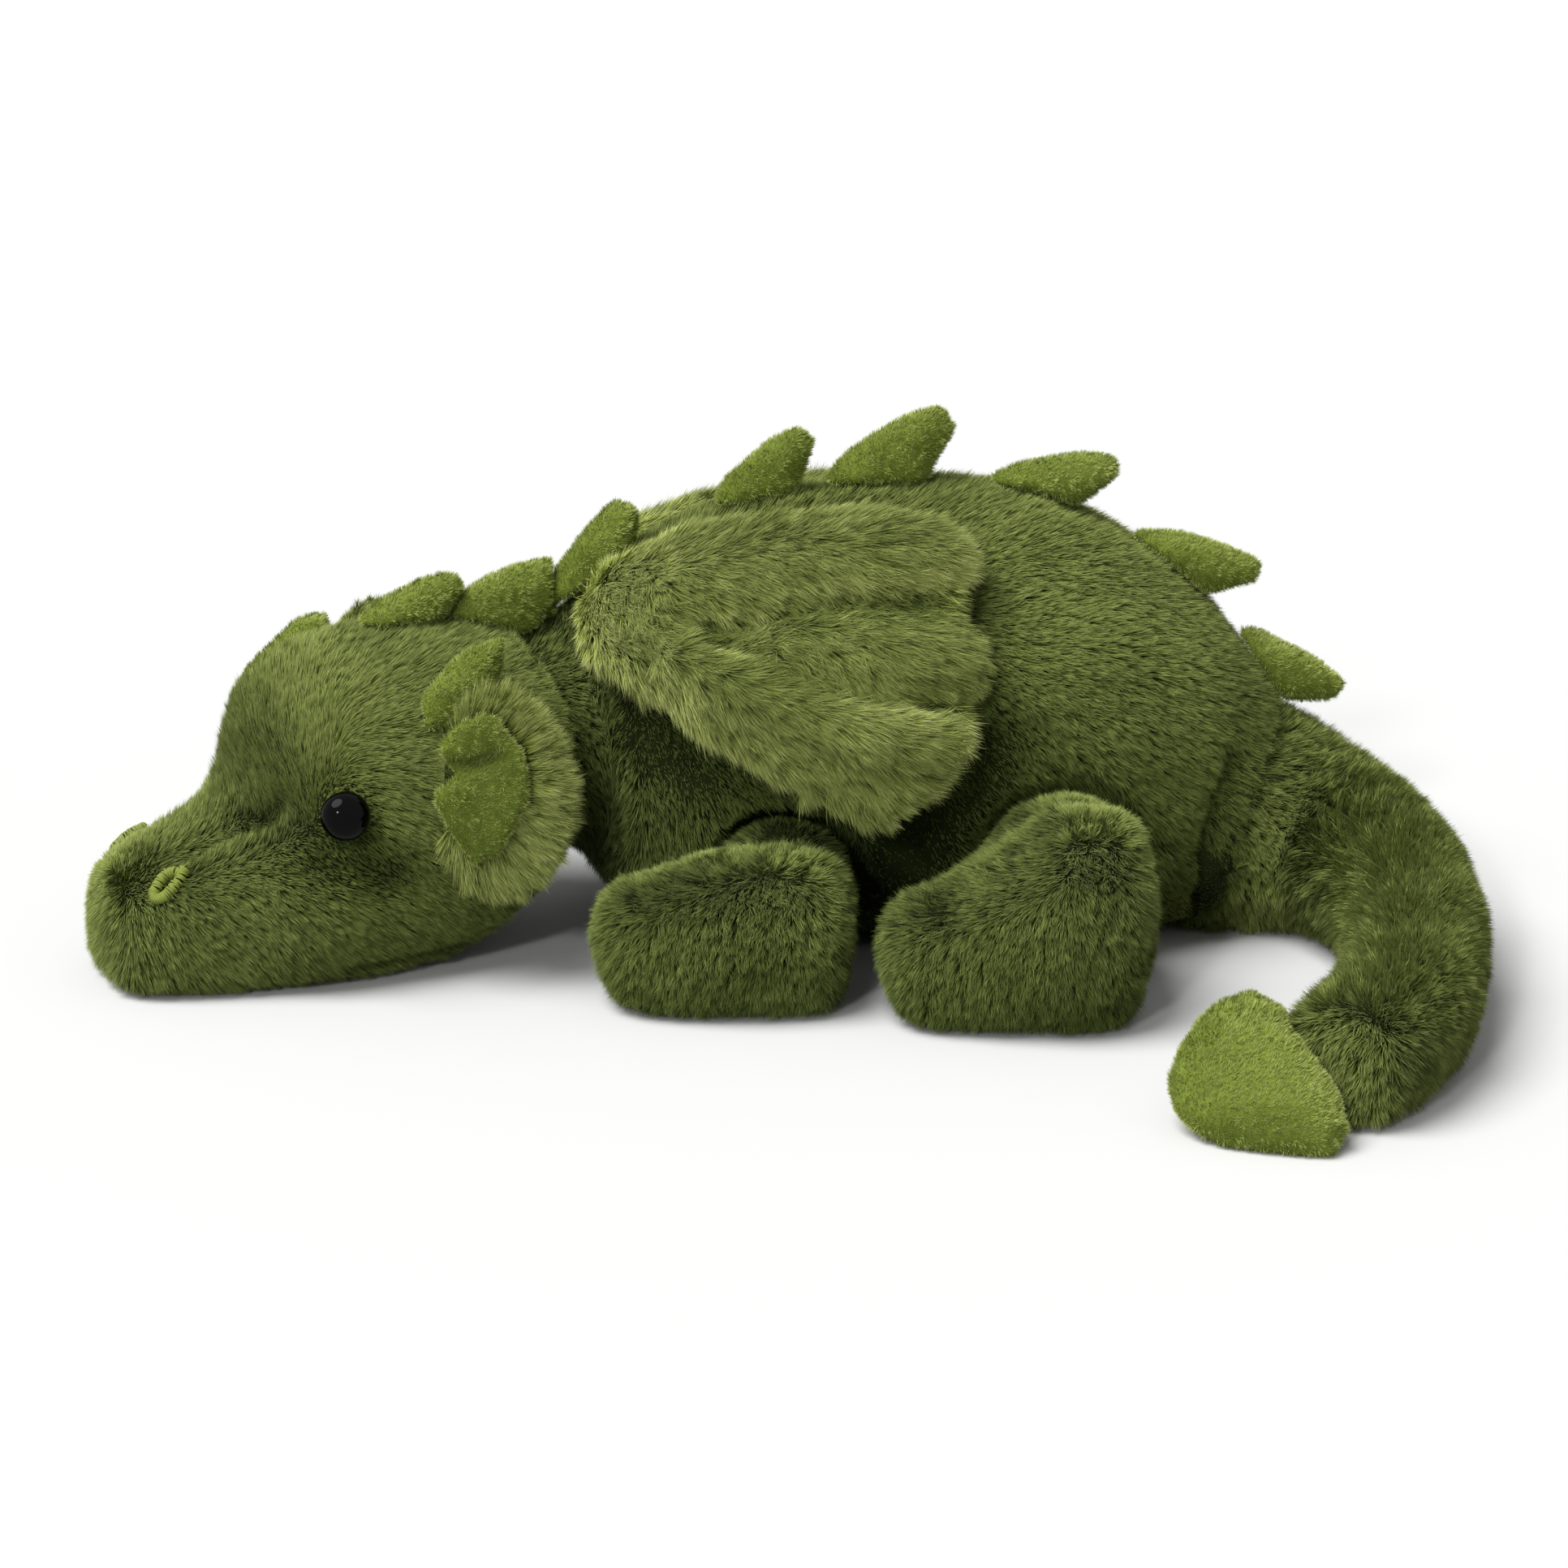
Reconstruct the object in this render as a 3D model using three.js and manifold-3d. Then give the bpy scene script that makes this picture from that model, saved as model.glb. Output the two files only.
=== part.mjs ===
// Plush dragon lying on its belly, in millimetres, +Z up.
// The head points along -X and the tail along +X. The dragon's left side faces -Y.
// The origin lies on the belly's flat resting face, under the middle of the body.

import * as THREE from 'three';
import { mergeVertices } from 'three/addons/utils/BufferGeometryUtils.js';
import Module from 'manifold-3d';

const wasm = await Module();
wasm.setup();

// Fabric and fit
const skinWall = 3;
const seatGap = 0.35;
const turnGap = 1.5;
const facetRoom = 2.6;
const pressDepth = 0.5;
const overrun = 30;
const coreInset = skinWall + seatGap;

// Body
const bodyFrontX = -84;
const bodyLength = 276;
const bodyHeight = 171;
const bodyHalfWidth = 82;
const bodyEndDepth = 7;
const stuffingHoleRadius = 15;
const bellyPanelLength = 210;
const bellyPanelWidth = 104;
const bellyPanelPlaceShare = 0.522;
const bellyPanelRise = 24;

// Neck and head
const neckX = bodyFrontX;
const neckY = -8;
const neckZ = 74;
const neckRadius = 45;
const headTurnDegrees = 24;
const headLength = 178;
const headHeight = 125;
const headHalfWidth = 61;
const headEndDepth = 7;
const headTurnIn = 8;
const headTurnOut = 25;
const headLift = 6;
const headRoomRadius = 84;

// Eyes and nostrils
const eyeRadius = 9;
const eyePostRadius = 2.4;
const eyePostLength = 6;
const eyeSinkDepth = 2.2;
const eyeAlongShare = 0.59;
const eyeHeight = 71;
const washerRadius = 8;
const washerThickness = 1.6;
const washerSpacing = 1.2;
const washerRoomDepth = 8;
const nostrilAlongShare = 0.92;
const nostrilHeight = 44;
const nostrilLength = 13;
const nostrilWidth = 9;
const nostrilLeanDegrees = 25;
const stitchRadius = 1.3;

// Horns, ears and spikes
const hornLength = 37;
const hornWidth = 29;
const hornThickness = 15;
const hornAlongShare = 0.375;
const rightHornSlipShare = 0.17;
const hornSide = 45;
const hornBaseZ = 96;
const earLength = 78;
const earWidth = 45;
const earThickness = 13;
const earAlongShare = 0.395;
const earSide = 63;
const earMiddleZ = 75;
const earSplayDegrees = 24;
const earCup = 5;
const liningThickness = 3;
const spikeLength = 36;
const spikeHeight = 34;
const spikeThickness = 16;
const spikeSink = 5;

// Wings
const wingThickness = 22;
const wingLength = 150;
const wingFrontShare = 0.0145;
const wingTopShare = 0.3;
const wingDropShare = 0.72;
const wingEdgeLift = 1.5;
const wingRimShare = 0.35;
const rightWingSlipShare = 0.02;

// Legs
const hipInset = 28;
const frontHipShare = 0.304;
const frontHipZ = 34;
const frontHipRadius = 29;
const frontLegLength = 60;
const frontLegHeight = 61;
const frontLegHalfWidth = 31;
const frontLegSide = 103;
const hindHipShare = 0.67;
const hindHipZ = 42;
const hindHipRadius = 33;
const hindLegLength = 64;
const hindLegHeight = 81;
const hindLegHalfWidth = 39;
const hindLegSide = 115;
const legHeelDepth = 14;
const pawDepth = 24;

// Tail and its spade tip
const tailRootShare = 0.902;
const tailRootY = -2;
const tailRootRadius = 38;
const tailReach = 61;
const tailCurl = 214;
const tailTubeRadius = 27;
const tailEndDepth = 9;
const tailSway = 10;
const spadeLength = 56;
const spadeWidth = 72;
const spadeThickness = 24;
const spadeTurnDegrees = 13;
const spadeTiltDegrees = 18;
const spadeRollDegrees = -32;
const spadeLift = 15;

// Stuffing
const neckStuffingRadius = 30;
const hipHoleRadius = 12;

// Facets
const bodySides = 18;
const bodyRings = 11;
const headSides = 18;
const headRings = 11;
const limbSides = 12;
const limbRings = 3;
const tailRings = 11;
const innerSides = 12;
const innerRings = 6;
const coreSides = 10;
const coreRings = 3;
const domeRings = 2;
const roundSteps = 16;
const socketSteps = 14;
const neckSteps = 20;
const eyeSteps = 14;
const holeSteps = 10;
const wingSides = 20;
const wingRings = 3;
const padSides = 16;
const padRings = 3;
const smallPadSides = 12;
const thinPadRings = 2;
const padPuffShare = 0.8;

const floorSize = 1200;
const upward = new THREE.Vector3(0, 0, 1);

function point(x, y, z) {
  return new THREE.Vector3(x, y, z);
}

function rounded(value, squareness) {
  return Math.sign(value) * Math.abs(value) ** (2 / squareness);
}

// A value read smoothly from a list at a place from 0 to 1
function readSmooth(values, place) {
  const curve = new THREE.SplineCurve(values.map((value, index) => new THREE.Vector2(index, value)));
  return curve.getPoint(THREE.MathUtils.clamp(place, 0, 1)).y;
}

function closedSurface(rings, startPole, endPole) {
  const sides = rings[0].length;
  const places = rings.flat().concat([startPole, endPole]);
  const positions = places.flatMap((place) => [place.x, place.y, place.z]);
  const startIndex = rings.length * sides;
  const endIndex = startIndex + 1;
  const faces = [];
  for (let ring = 0; ring + 1 < rings.length; ring += 1) {
    for (let side = 0; side < sides; side += 1) {
      const next = (side + 1) % sides;
      const a = ring * sides + side;
      const b = ring * sides + next;
      faces.push(a, b, b + sides, a, b + sides, a + sides);
    }
  }
  const last = (rings.length - 1) * sides;
  for (let side = 0; side < sides; side += 1) {
    const next = (side + 1) % sides;
    faces.push(startIndex, next, side);
    faces.push(endIndex, last + side, last + next);
  }
  const geometry = new THREE.BufferGeometry();
  geometry.setAttribute('position', new THREE.Float32BufferAttribute(positions, 3));
  geometry.setIndex(faces);
  return geometry;
}

function solidOf(geometry) {
  const bare = geometry.clone();
  bare.deleteAttribute('normal');
  bare.deleteAttribute('uv');
  const merged = mergeVertices(bare);
  const vertProperties = Float32Array.from(merged.attributes.position.array);
  const triVerts = Uint32Array.from(merged.index.array);
  const solid = new wasm.Manifold(new wasm.Mesh({ numProp: 3, vertProperties, triVerts }));
  if (solid.volume() > 0) {
    return solid;
  }
  const flipped = Uint32Array.from(triVerts);
  for (let face = 0; face < flipped.length; face += 3) {
    flipped[face] = triVerts[face + 1];
    flipped[face + 1] = triVerts[face];
  }
  return new wasm.Manifold(new wasm.Mesh({ numProp: 3, vertProperties, triVerts: flipped }));
}

function geometryOf(solid) {
  const mesh = solid.getMesh();
  const geometry = new THREE.BufferGeometry();
  const positions = [];
  for (let index = 0; index < mesh.numVert; index += 1) {
    const start = index * mesh.numProp;
    positions.push(...mesh.vertProperties.slice(start, start + 3));
  }
  geometry.setAttribute('position', new THREE.Float32BufferAttribute(positions, 3));
  geometry.setIndex(Array.from(mesh.triVerts));
  return geometry;
}

// A stuffed form swept along its stations, with upright rings and rounded ends
function stuffedForm(shape, grow, sides, rings) {
  const curve = new THREE.CatmullRomCurve3(shape.stations.map((station) => station.centre));
  const wides = shape.stations.map((station) => station.wide);
  const highs = shape.stations.map((station) => station.high);
  const lows = shape.stations.map((station) => station.low);
  function ringAt(place, scale, offset) {
    const along = curve.getTangent(place).setZ(0).normalize();
    const across = new THREE.Vector3().crossVectors(upward, along);
    const centre = curve.getPoint(place).addScaledVector(along, offset);
    const wide = (readSmooth(wides, place) + grow) * scale;
    const high = (readSmooth(highs, place) + grow) * scale;
    const low = (readSmooth(lows, place) + grow) * scale;
    const ring = [];
    for (let side = 0; side < sides; side += 1) {
      const angle = (2 * Math.PI * side) / sides;
      const rise = Math.sin(angle);
      const square = rise > 0 ? shape.topSquareness : shape.bottomSquareness;
      const reach = rise > 0 ? high : low;
      const spot = centre.clone().addScaledVector(across, wide * rounded(Math.cos(angle), square));
      ring.push(spot.addScaledVector(upward, reach * rounded(rise, square)));
    }
    return ring;
  }
  function poleAt(place, offset) {
    const along = curve.getTangent(place).setZ(0).normalize();
    return curve.getPoint(place).addScaledVector(along, offset);
  }
  const startDepth = shape.startDepth + grow;
  const endDepth = shape.endDepth + grow;
  const surface = [];
  for (let step = domeRings; step > 0; step -= 1) {
    const lean = (Math.PI / 2) * (step / (domeRings + 1));
    surface.push(ringAt(0, Math.cos(lean), -startDepth * Math.sin(lean)));
  }
  for (let step = 0; step <= rings; step += 1) {
    surface.push(ringAt(step / rings, 1, 0));
  }
  for (let step = 1; step <= domeRings; step += 1) {
    const lean = (Math.PI / 2) * (step / (domeRings + 1));
    surface.push(ringAt(1, Math.cos(lean), endDepth * Math.sin(lean)));
  }
  return solidOf(closedSurface(surface, poleAt(0, -startDepth), poleAt(1, endDepth)));
}

// A puffy pad inside a smooth outline, placed by a function of its outline and its height
function puffyPad(outline, halfThickness, place, count, rings) {
  const curve = new THREE.CatmullRomCurve3(outline.map(([x, y]) => point(x, y, 0)), true, 'centripetal');
  const edge = curve.getSpacedPoints(count).slice(0, count);
  const middle = edge.reduce((sum, spot) => sum.add(spot), point(0, 0, 0)).divideScalar(count);
  const surface = [];
  for (let step = 1 - rings; step < rings; step += 1) {
    const lean = (Math.PI / 2) * (step / rings);
    const spread = Math.cos(lean) ** padPuffShare;
    const height = halfThickness * Math.sin(lean);
    surface.push(edge.map((spot) => {
      const flat = middle.clone().lerp(spot, spread);
      return place(flat.x, flat.y, height, spread);
    }));
  }
  const low = place(middle.x, middle.y, -halfThickness, 0);
  const high = place(middle.x, middle.y, halfThickness, 0);
  return solidOf(closedSurface(surface, low, high));
}

function ball(centre, radius, around, down) {
  const geometry = new THREE.SphereGeometry(radius, around, down);
  return solidOf(geometry.translate(centre.x, centre.y, centre.z));
}

// A round bar from one place towards another
function bar(from, direction, radius, length, sides) {
  const geometry = new THREE.CylinderGeometry(radius, radius, length, sides);
  geometry.translate(0, length / 2, 0);
  const turn = new THREE.Quaternion().setFromUnitVectors(point(0, 1, 0), direction.clone().normalize());
  geometry.applyQuaternion(turn);
  return solidOf(geometry.translate(from.x, from.y, from.z));
}

// The floor as a block, with its top at a height
function floorTo(height) {
  const geometry = new THREE.BoxGeometry(floorSize, floorSize, overrun);
  return solidOf(geometry.translate(0, 0, height - overrun / 2));
}

// Room for a ball that turns in its socket
function socketRoom(centre, radius, steps) {
  return ball(centre, radius, steps, steps / 2);
}

function turned(solid, pivot, axis, degrees) {
  const matrix = new THREE.Matrix4().makeTranslation(pivot.x, pivot.y, pivot.z);
  const turn = new THREE.Matrix4().makeRotationAxis(axis, THREE.MathUtils.degToRad(degrees));
  matrix.multiply(turn);
  matrix.multiply(new THREE.Matrix4().makeTranslation(-pivot.x, -pivot.y, -pivot.z));
  return solid.transform(matrix.elements);
}

function mirrored(solid) {
  return solid.mirror([0, 1, 0]);
}

function joined(solids) {
  return solids.reduce((sum, solid) => sum.add(solid));
}

const floorBlock = floorTo(0);

// Body: place, top, bottom and half width along its length
const bodyPlaceShares = [0, 0.11, 0.23, 0.37, 0.52, 0.66, 0.77, 0.86, 0.935, 1];
const bodyTopShares = [0.73, 0.885, 0.955, 0.995, 1, 0.975, 0.885, 0.775, 0.64, 0.47];
const bodyBottomShares = [0.18, 0.03, 0, 0, 0, 0, 0, 0.01, 0.05, 0.12];
const bodyWidthShares = [0.53, 0.8, 0.93, 1, 1, 0.97, 0.89, 0.76, 0.6, 0.42];
const bodyWaistShare = 0.4;
const bodyTopSquareness = 2.15;
const bodyBottomSquareness = 2.9;

function bodyShape() {
  const stations = bodyPlaceShares.map((share, index) => {
    const top = bodyHeight * bodyTopShares[index];
    const bottom = bodyHeight * bodyBottomShares[index] - pressDepth;
    const waist = bottom + (top - bottom) * bodyWaistShare;
    const sideways = neckY * (1 - share) ** 3;
    return {
      centre: point(bodyFrontX + bodyLength * share, sideways, waist),
      wide: bodyHalfWidth * bodyWidthShares[index],
      high: top - waist,
      low: waist - bottom,
    };
  });
  return {
    stations,
    startDepth: bodyEndDepth,
    endDepth: bodyEndDepth,
    topSquareness: bodyTopSquareness,
    bottomSquareness: bodyBottomSquareness,
  };
}

function bodyForm(grow, sides, rings) {
  return stuffedForm(bodyShape(), grow, sides, rings);
}

// The body's station values at a place along X
function bodyAt(x) {
  const shape = bodyShape();
  const share = (x - bodyFrontX) / bodyLength;
  let upper = bodyPlaceShares.findIndex((place) => place >= share);
  upper = Math.max(upper, 1);
  const lower = upper - 1;
  const span = bodyPlaceShares[upper] - bodyPlaceShares[lower];
  const place = (lower + (share - bodyPlaceShares[lower]) / span) / (bodyPlaceShares.length - 1);
  const read = (name) => readSmooth(shape.stations.map((station) => station[name]), place);
  const sideways = readSmooth(shape.stations.map((station) => station.centre.y), place);
  const waist = readSmooth(shape.stations.map((station) => station.centre.z), place);
  return { sideways, waist, wide: read('wide'), high: read('high') };
}

// Head, built straight along -X from the neck's middle, then turned
const headPlaceShares = [0.06, 0.15, 0.29, 0.44, 0.57, 0.66, 0.72, 0.79, 0.9, 1];
const headTopShares = [0.88, 0.97, 1, 1, 0.96, 0.83, 0.6, 0.5, 0.45, 0.36];
const headBottomShares = [0.3, 0.14, 0.03, 0, 0, 0, 0, 0, 0, 0.02];
const headWidthShares = [0.82, 0.95, 1, 1, 1, 0.95, 0.84, 0.74, 0.65, 0.5];
const headWaistShare = 0.46;
const neck = point(neckX, neckY, neckZ);

function headShape() {
  const stations = headPlaceShares.map((share, index) => {
    const top = headHeight * headTopShares[index];
    const bottom = headHeight * headBottomShares[index] - pressDepth;
    const waist = bottom + (top - bottom) * headWaistShare;
    return {
      centre: point(neckX - headLength * share, neckY, waist),
      wide: headHalfWidth * headWidthShares[index],
      high: top - waist,
      low: waist - bottom,
    };
  });
  return { stations, startDepth: headEndDepth, endDepth: headEndDepth, topSquareness: 2.2, bottomSquareness: 3.5 };
}

function faced(solid) {
  return turned(solid, neck, upward, headTurnDegrees);
}

function straightHead(grow, sides, rings) {
  return stuffedForm(headShape(), grow, sides, rings);
}

function headForm(grow, sides, rings) {
  return faced(straightHead(grow, sides, rings));
}

// Room for the head's turn and lift: a wide cone from the neck's middle for each end of its travel
function headRoom(grow) {
  const rimDepth = headLength * headPlaceShares[0] - headEndDepth / 2;
  const rimRadius = headHalfWidth * headWidthShares[0];
  const drop = -(grow / Math.sin(Math.atan2(rimRadius, rimDepth)));
  const reach = headRoomRadius;
  const out = (reach * rimRadius) / rimDepth;
  const cone = lathe([[0, drop], [out, reach + drop], [out, headLength], [0, headLength]], roundSteps);
  const side = point(0, 1, 0);
  const straight = turned(cone, point(0, 0, 0), upward, 90).translate([neckX, neckY, neckZ]);
  const ends = [[0, -headTurnOut], [0, headTurnIn], [headLift, (headTurnIn - headTurnOut) / 2]];
  const rooms = ends.map(([lift, turn]) => turned(
    turned(straight, neck, side, lift), neck, upward, headTurnDegrees + turn,
  ));
  return joined(rooms).intersect(ball(neck, headRoomRadius + grow, headSides, headSides / 2));
}

// Legs: each swells from a ball at the hip to a round paw
const frontLegPlaceShares = [0, 0.3, 0.65, 1];
const frontLegTopShares = [0.95, 1, 0.95, 0.84];
const frontLegWidthShares = [0.85, 1, 1, 0.86];
const hindLegPlaceShares = [0, 0.34, 0.7, 1];
const hindLegTopShares = [0.96, 0.98, 0.77, 0.62];
const hindLegWidthShares = [0.84, 1, 0.9, 0.78];

function legShape(leg) {
  const stations = leg.placeShares.map((share, index) => {
    const top = leg.height * leg.topShares[index];
    const waist = (top - pressDepth) / 2;
    return {
      centre: point(leg.hipX + leg.length * (leg.rearShare - share), -leg.side, waist),
      wide: leg.halfWidth * leg.widthShares[index],
      high: top - waist,
      low: waist + pressDepth,
    };
  });
  return { stations, startDepth: legHeelDepth, endDepth: pawDepth, topSquareness: 2.1, bottomSquareness: 2.7 };
}

const frontLeg = {
  hipX: bodyFrontX + bodyLength * frontHipShare,
  hipZ: frontHipZ,
  hipRadius: frontHipRadius,
  length: frontLegLength,
  height: frontLegHeight,
  halfWidth: frontLegHalfWidth,
  side: frontLegSide,
  rearShare: 0.22,
  placeShares: frontLegPlaceShares,
  topShares: frontLegTopShares,
  widthShares: frontLegWidthShares,
};

const hindLeg = {
  hipX: bodyFrontX + bodyLength * hindHipShare,
  hipZ: hindHipZ,
  hipRadius: hindHipRadius,
  length: hindLegLength,
  height: hindLegHeight,
  halfWidth: hindLegHalfWidth,
  side: hindLegSide,
  rearShare: 0.29,
  placeShares: hindLegPlaceShares,
  topShares: hindLegTopShares,
  widthShares: hindLegWidthShares,
};

function hipOf(leg) {
  return point(leg.hipX, hipInset - leg.side, leg.hipZ);
}

function legForm(leg, grow, sides, rings) {
  const root = ball(hipOf(leg), leg.hipRadius + grow, sides, sides / 2);
  const beside = bodyForm(turnGap + facetRoom - grow, bodySides, bodyRings);
  return stuffedForm(legShape(leg), grow, sides, rings).subtract(beside).add(root);
}

// Tail: its middle line on the floor, as shares of its reach and its curl
const tailReachShares = [0, 0.4, 0.77, 0.97, 1, 0.91, 0.72, 0.34];
const tailCurlShares = [0, 0.01, 0.07, 0.22, 0.427, 0.63, 0.838, 1];
const tailRadiusShares = [1.46, 1.5, 1.24, 1.1, 1.04, 1.01, 0.97, 0.88];
const tailRoot = point(bodyFrontX + bodyLength * tailRootShare, tailRootY, tailRootRadius);

function tailShape() {
  const stations = tailReachShares.map((share, index) => {
    const radius = tailTubeRadius * tailRadiusShares[index];
    return {
      centre: point(tailRoot.x + tailReach * share, tailRootY - tailCurl * tailCurlShares[index], radius),
      wide: radius,
      high: radius,
      low: radius + pressDepth,
    };
  });
  return { stations, startDepth: 0, endDepth: tailEndDepth, topSquareness: 2, bottomSquareness: 2.2 };
}

function tailForm(grow, sides, rings) {
  const shape = tailShape();
  shape.startDepth = tailEndDepth;
  const root = ball(tailRoot, tailRootRadius + grow, sides, sides / 2);
  return stuffedForm(shape, grow, sides, rings).add(root);
}

// Room for the tail's root and for its sway
function tailRoom(grow) {
  const radius = tailTubeRadius * Math.max(...tailRadiusShares) + facetRoom + grow;
  const root = socketRoom(tailRoot, tailRootRadius + facetRoom / 2 + grow, socketSteps);
  return joined([-tailSway, tailSway].map((angle) => {
    const direction = point(1, 0, 0).applyAxisAngle(upward, THREE.MathUtils.degToRad(angle));
    const start = tailRoot.clone().addScaledVector(direction, -tailEndDepth - grow);
    return bar(start, direction, radius, tailReach, roundSteps);
  })).add(root);
}

// Wings: pads draped over the flank, placed by X and by the angle round the body
const wingOutlineShares = [
  [0.03, 0.2], [0.1, 0.07], [0.3, 0], [0.62, 0], [0.9, 0.06], [1, 0.2], [0.985, 0.36], [1.02, 0.58],
  [0.96, 0.83], [0.81, 1], [0.6, 0.93], [0.38, 0.76], [0.16, 0.55], [0.04, 0.38],
];
const wingMiddleShares = [0.55, 0.4];
const wingShrinkShare = 0.25;
const wingHoleShares = [0.46, 0.3];
const wingFrontX = bodyFrontX + bodyLength * wingFrontShare;

function flankPoint(x, turnShare, lift, toRight) {
  const body = bodyAt(x);
  const angle = Math.PI / 2 + Math.PI * turnShare * (toRight ? -1 : 1);
  const rise = rounded(Math.sin(angle), bodyTopSquareness);
  const side = rounded(Math.cos(angle), bodyTopSquareness);
  const spot = point(x, body.sideways + body.wide * side, body.waist + body.high * rise);
  const outward = point(0, side / body.wide, rise / body.high).normalize();
  return spot.addScaledVector(outward, lift);
}

function wingForm(slipShare, shrink, toRight) {
  const half = wingThickness / 2;
  const middle = point(...wingMiddleShares, 0);
  const place = (along, down, height, spread) => {
    const rest = half * (wingRimShare + (1 - wingRimShare) * (1 - spread));
    const spot = point(along, down, 0).lerp(middle, (wingShrinkShare * shrink) / half);
    const turnShare = (wingTopShare + slipShare + wingDropShare * spot.y) / 2;
    return flankPoint(wingFrontX + wingLength * spot.x, turnShare, height + rest + wingEdgeLift, toRight);
  };
  const sides = shrink > 0 ? padSides : wingSides;
  const rings = shrink > 0 ? padRings : wingRings;
  return puffyPad(wingOutlineShares, half - shrink, place, sides, rings);
}

// Horns and ears, on the head before it is turned
const hornOutlineShares = [[-0.5, 0], [-0.42, 0.42], [0.06, 0.9], [0.36, 1], [0.5, 0.84], [0.52, 0.4], [0.5, 0]];
const hornLeanShare = 0.42;
const hornSinkShare = 0.2;
const earOutlineShares = [
  [0, -0.28], [0, 0.2], [0.16, 0.44], [0.5, 0.5], [0.85, 0.32], [1, 0.05], [0.93, -0.25], [0.6, -0.46], [0.2, -0.46],
];
const liningOutlineShares = [
  [0.06, -0.02], [0.3, 0.07], [0.04, 0.14], [0.2, 0.28], [0.38, 0.36], [0.56, 0.28], [0.72, 0.12], [0.74, -0.06],
  [0.64, -0.22], [0.46, -0.33], [0.24, -0.36], [0.12, -0.2],
];

function onHead(along, side, height) {
  return point(neckX - along, neckY - side, height);
}

function hornForm(slipShare) {
  const base = onHead(headLength * (hornAlongShare + slipShare), hornSide, hornBaseZ);
  const place = (x, y, height) => base.clone().add(point(
    hornWidth * x + hornLength * hornLeanShare * y,
    -height,
    hornLength * (y - hornSinkShare),
  ));
  return puffyPad(hornOutlineShares, hornThickness / 2, place, smallPadSides, padRings);
}

function earFrame() {
  const base = onHead(headLength * earAlongShare, earSide, earMiddleZ);
  const splay = THREE.MathUtils.degToRad(earSplayDegrees);
  const along = point(Math.cos(splay), -Math.sin(splay), 0);
  const outward = point(-Math.sin(splay), -Math.cos(splay), 0);
  return { base, along, outward };
}

function earPad(outlineShares, halfThickness, lift, count, rings) {
  const frame = earFrame();
  const place = (x, y, height) => {
    const dish = earCup * (1 - Math.min(1, 4 * (x - 0.5) ** 2 + 4 * y ** 2));
    return frame.base.clone()
      .addScaledVector(frame.along, earWidth * x)
      .addScaledVector(upward, earLength * y)
      .addScaledVector(frame.outward, height + lift - dish);
  };
  return puffyPad(outlineShares, halfThickness, place, count, rings);
}

function earForm(grow) {
  return earPad(earOutlineShares, earThickness / 2 + grow, 0, padSides, padRings);
}

function liningForm() {
  return earPad(liningOutlineShares, liningThickness, earThickness / 2, smallPadSides, thinPadRings);
}

// Spikes along the spine: place of the base, its length, height and lean
const spikeShares = [
  [0.93, 0.56, 0.3], [0.9, 1.2, 0.3], [1.1, 0.72, 0.5], [0.93, 0.7, 0.28],
  [1.1, 0.84, 0.26], [1, 0.62, 0.32], [1, 0.7, 0.38], [0.94, 0.74, 0.42],
];
const spikeSizes = spikeShares.map(([longShare, highShare, leanShare]) => (
  { length: spikeLength * longShare, height: spikeHeight * highShare, lean: leanShare }
));
const headSpikePlaceShares = [0.365, 0.154];
const slopeStepShare = 0.05;
const spikePlaceShares = [0.025, 0.26, 0.425, 0.645, 0.83, 0.955];
const spikeOutlineShares = [
  [-0.5, -0.2], [-0.46, 0.25], [-0.16, 0.68], [0.18, 0.95], [0.42, 1], [0.55, 0.86], [0.53, 0.55], [0.47, 0.2], [0.46, -0.2],
];

function spikeForm(base, slope, size) {
  const along = point(Math.cos(slope), 0, Math.sin(slope));
  const up = point(-Math.sin(slope), 0, Math.cos(slope));
  const place = (x, y, height) => base.clone()
    .addScaledVector(along, size.length * (x + size.lean * y))
    .addScaledVector(up, size.height * y - spikeSink)
    .add(point(0, height, 0));
  return puffyPad(spikeOutlineShares, spikeThickness / 2, place, smallPadSides, padRings);
}

function backHeight(x) {
  const body = bodyAt(x);
  return body.waist + body.high;
}

// The first spikes stand on the head and the rest on the body
function headSpike(index) {
  const share = headSpikePlaceShares[index];
  const size = spikeSizes[index];
  const tops = headShape().stations.map((station) => station.centre.z + station.high);
  const along = headLength * share;
  const run = headLength * slopeStepShare;
  const top = readSmooth(tops, headPlaceAt(along));
  const fall = top - readSmooth(tops, headPlaceAt(along - run));
  return spikeForm(onHead(along, 0, top), Math.atan2(-fall, run), size);
}

function bodySpike(index) {
  const x = bodyFrontX + bodyLength * spikePlaceShares[index - headSpikePlaceShares.length];
  const size = spikeSizes[index];
  const reach = size.length / 2;
  const ahead = Math.min(x + reach, bodyFrontX + bodyLength);
  const behind = Math.max(x - reach, bodyFrontX);
  const slope = Math.atan2(backHeight(ahead) - backHeight(behind), ahead - behind);
  return spikeForm(point(x, bodyAt(x).sideways, backHeight(x)), slope, size);
}

// Spade: a puffy pad whose root lies across the tail's end
const spadeOutlineShares = [
  [0, 0], [0.02, 0.3], [0.1, 0.48], [0.28, 0.51], [0.62, 0.4], [0.85, 0.18], [0.89, 0], [0.68, -0.23],
  [0.3, -0.42], [0.12, -0.46], [0.02, -0.32],
];
const spadeMiddleShare = 0.4;

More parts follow.
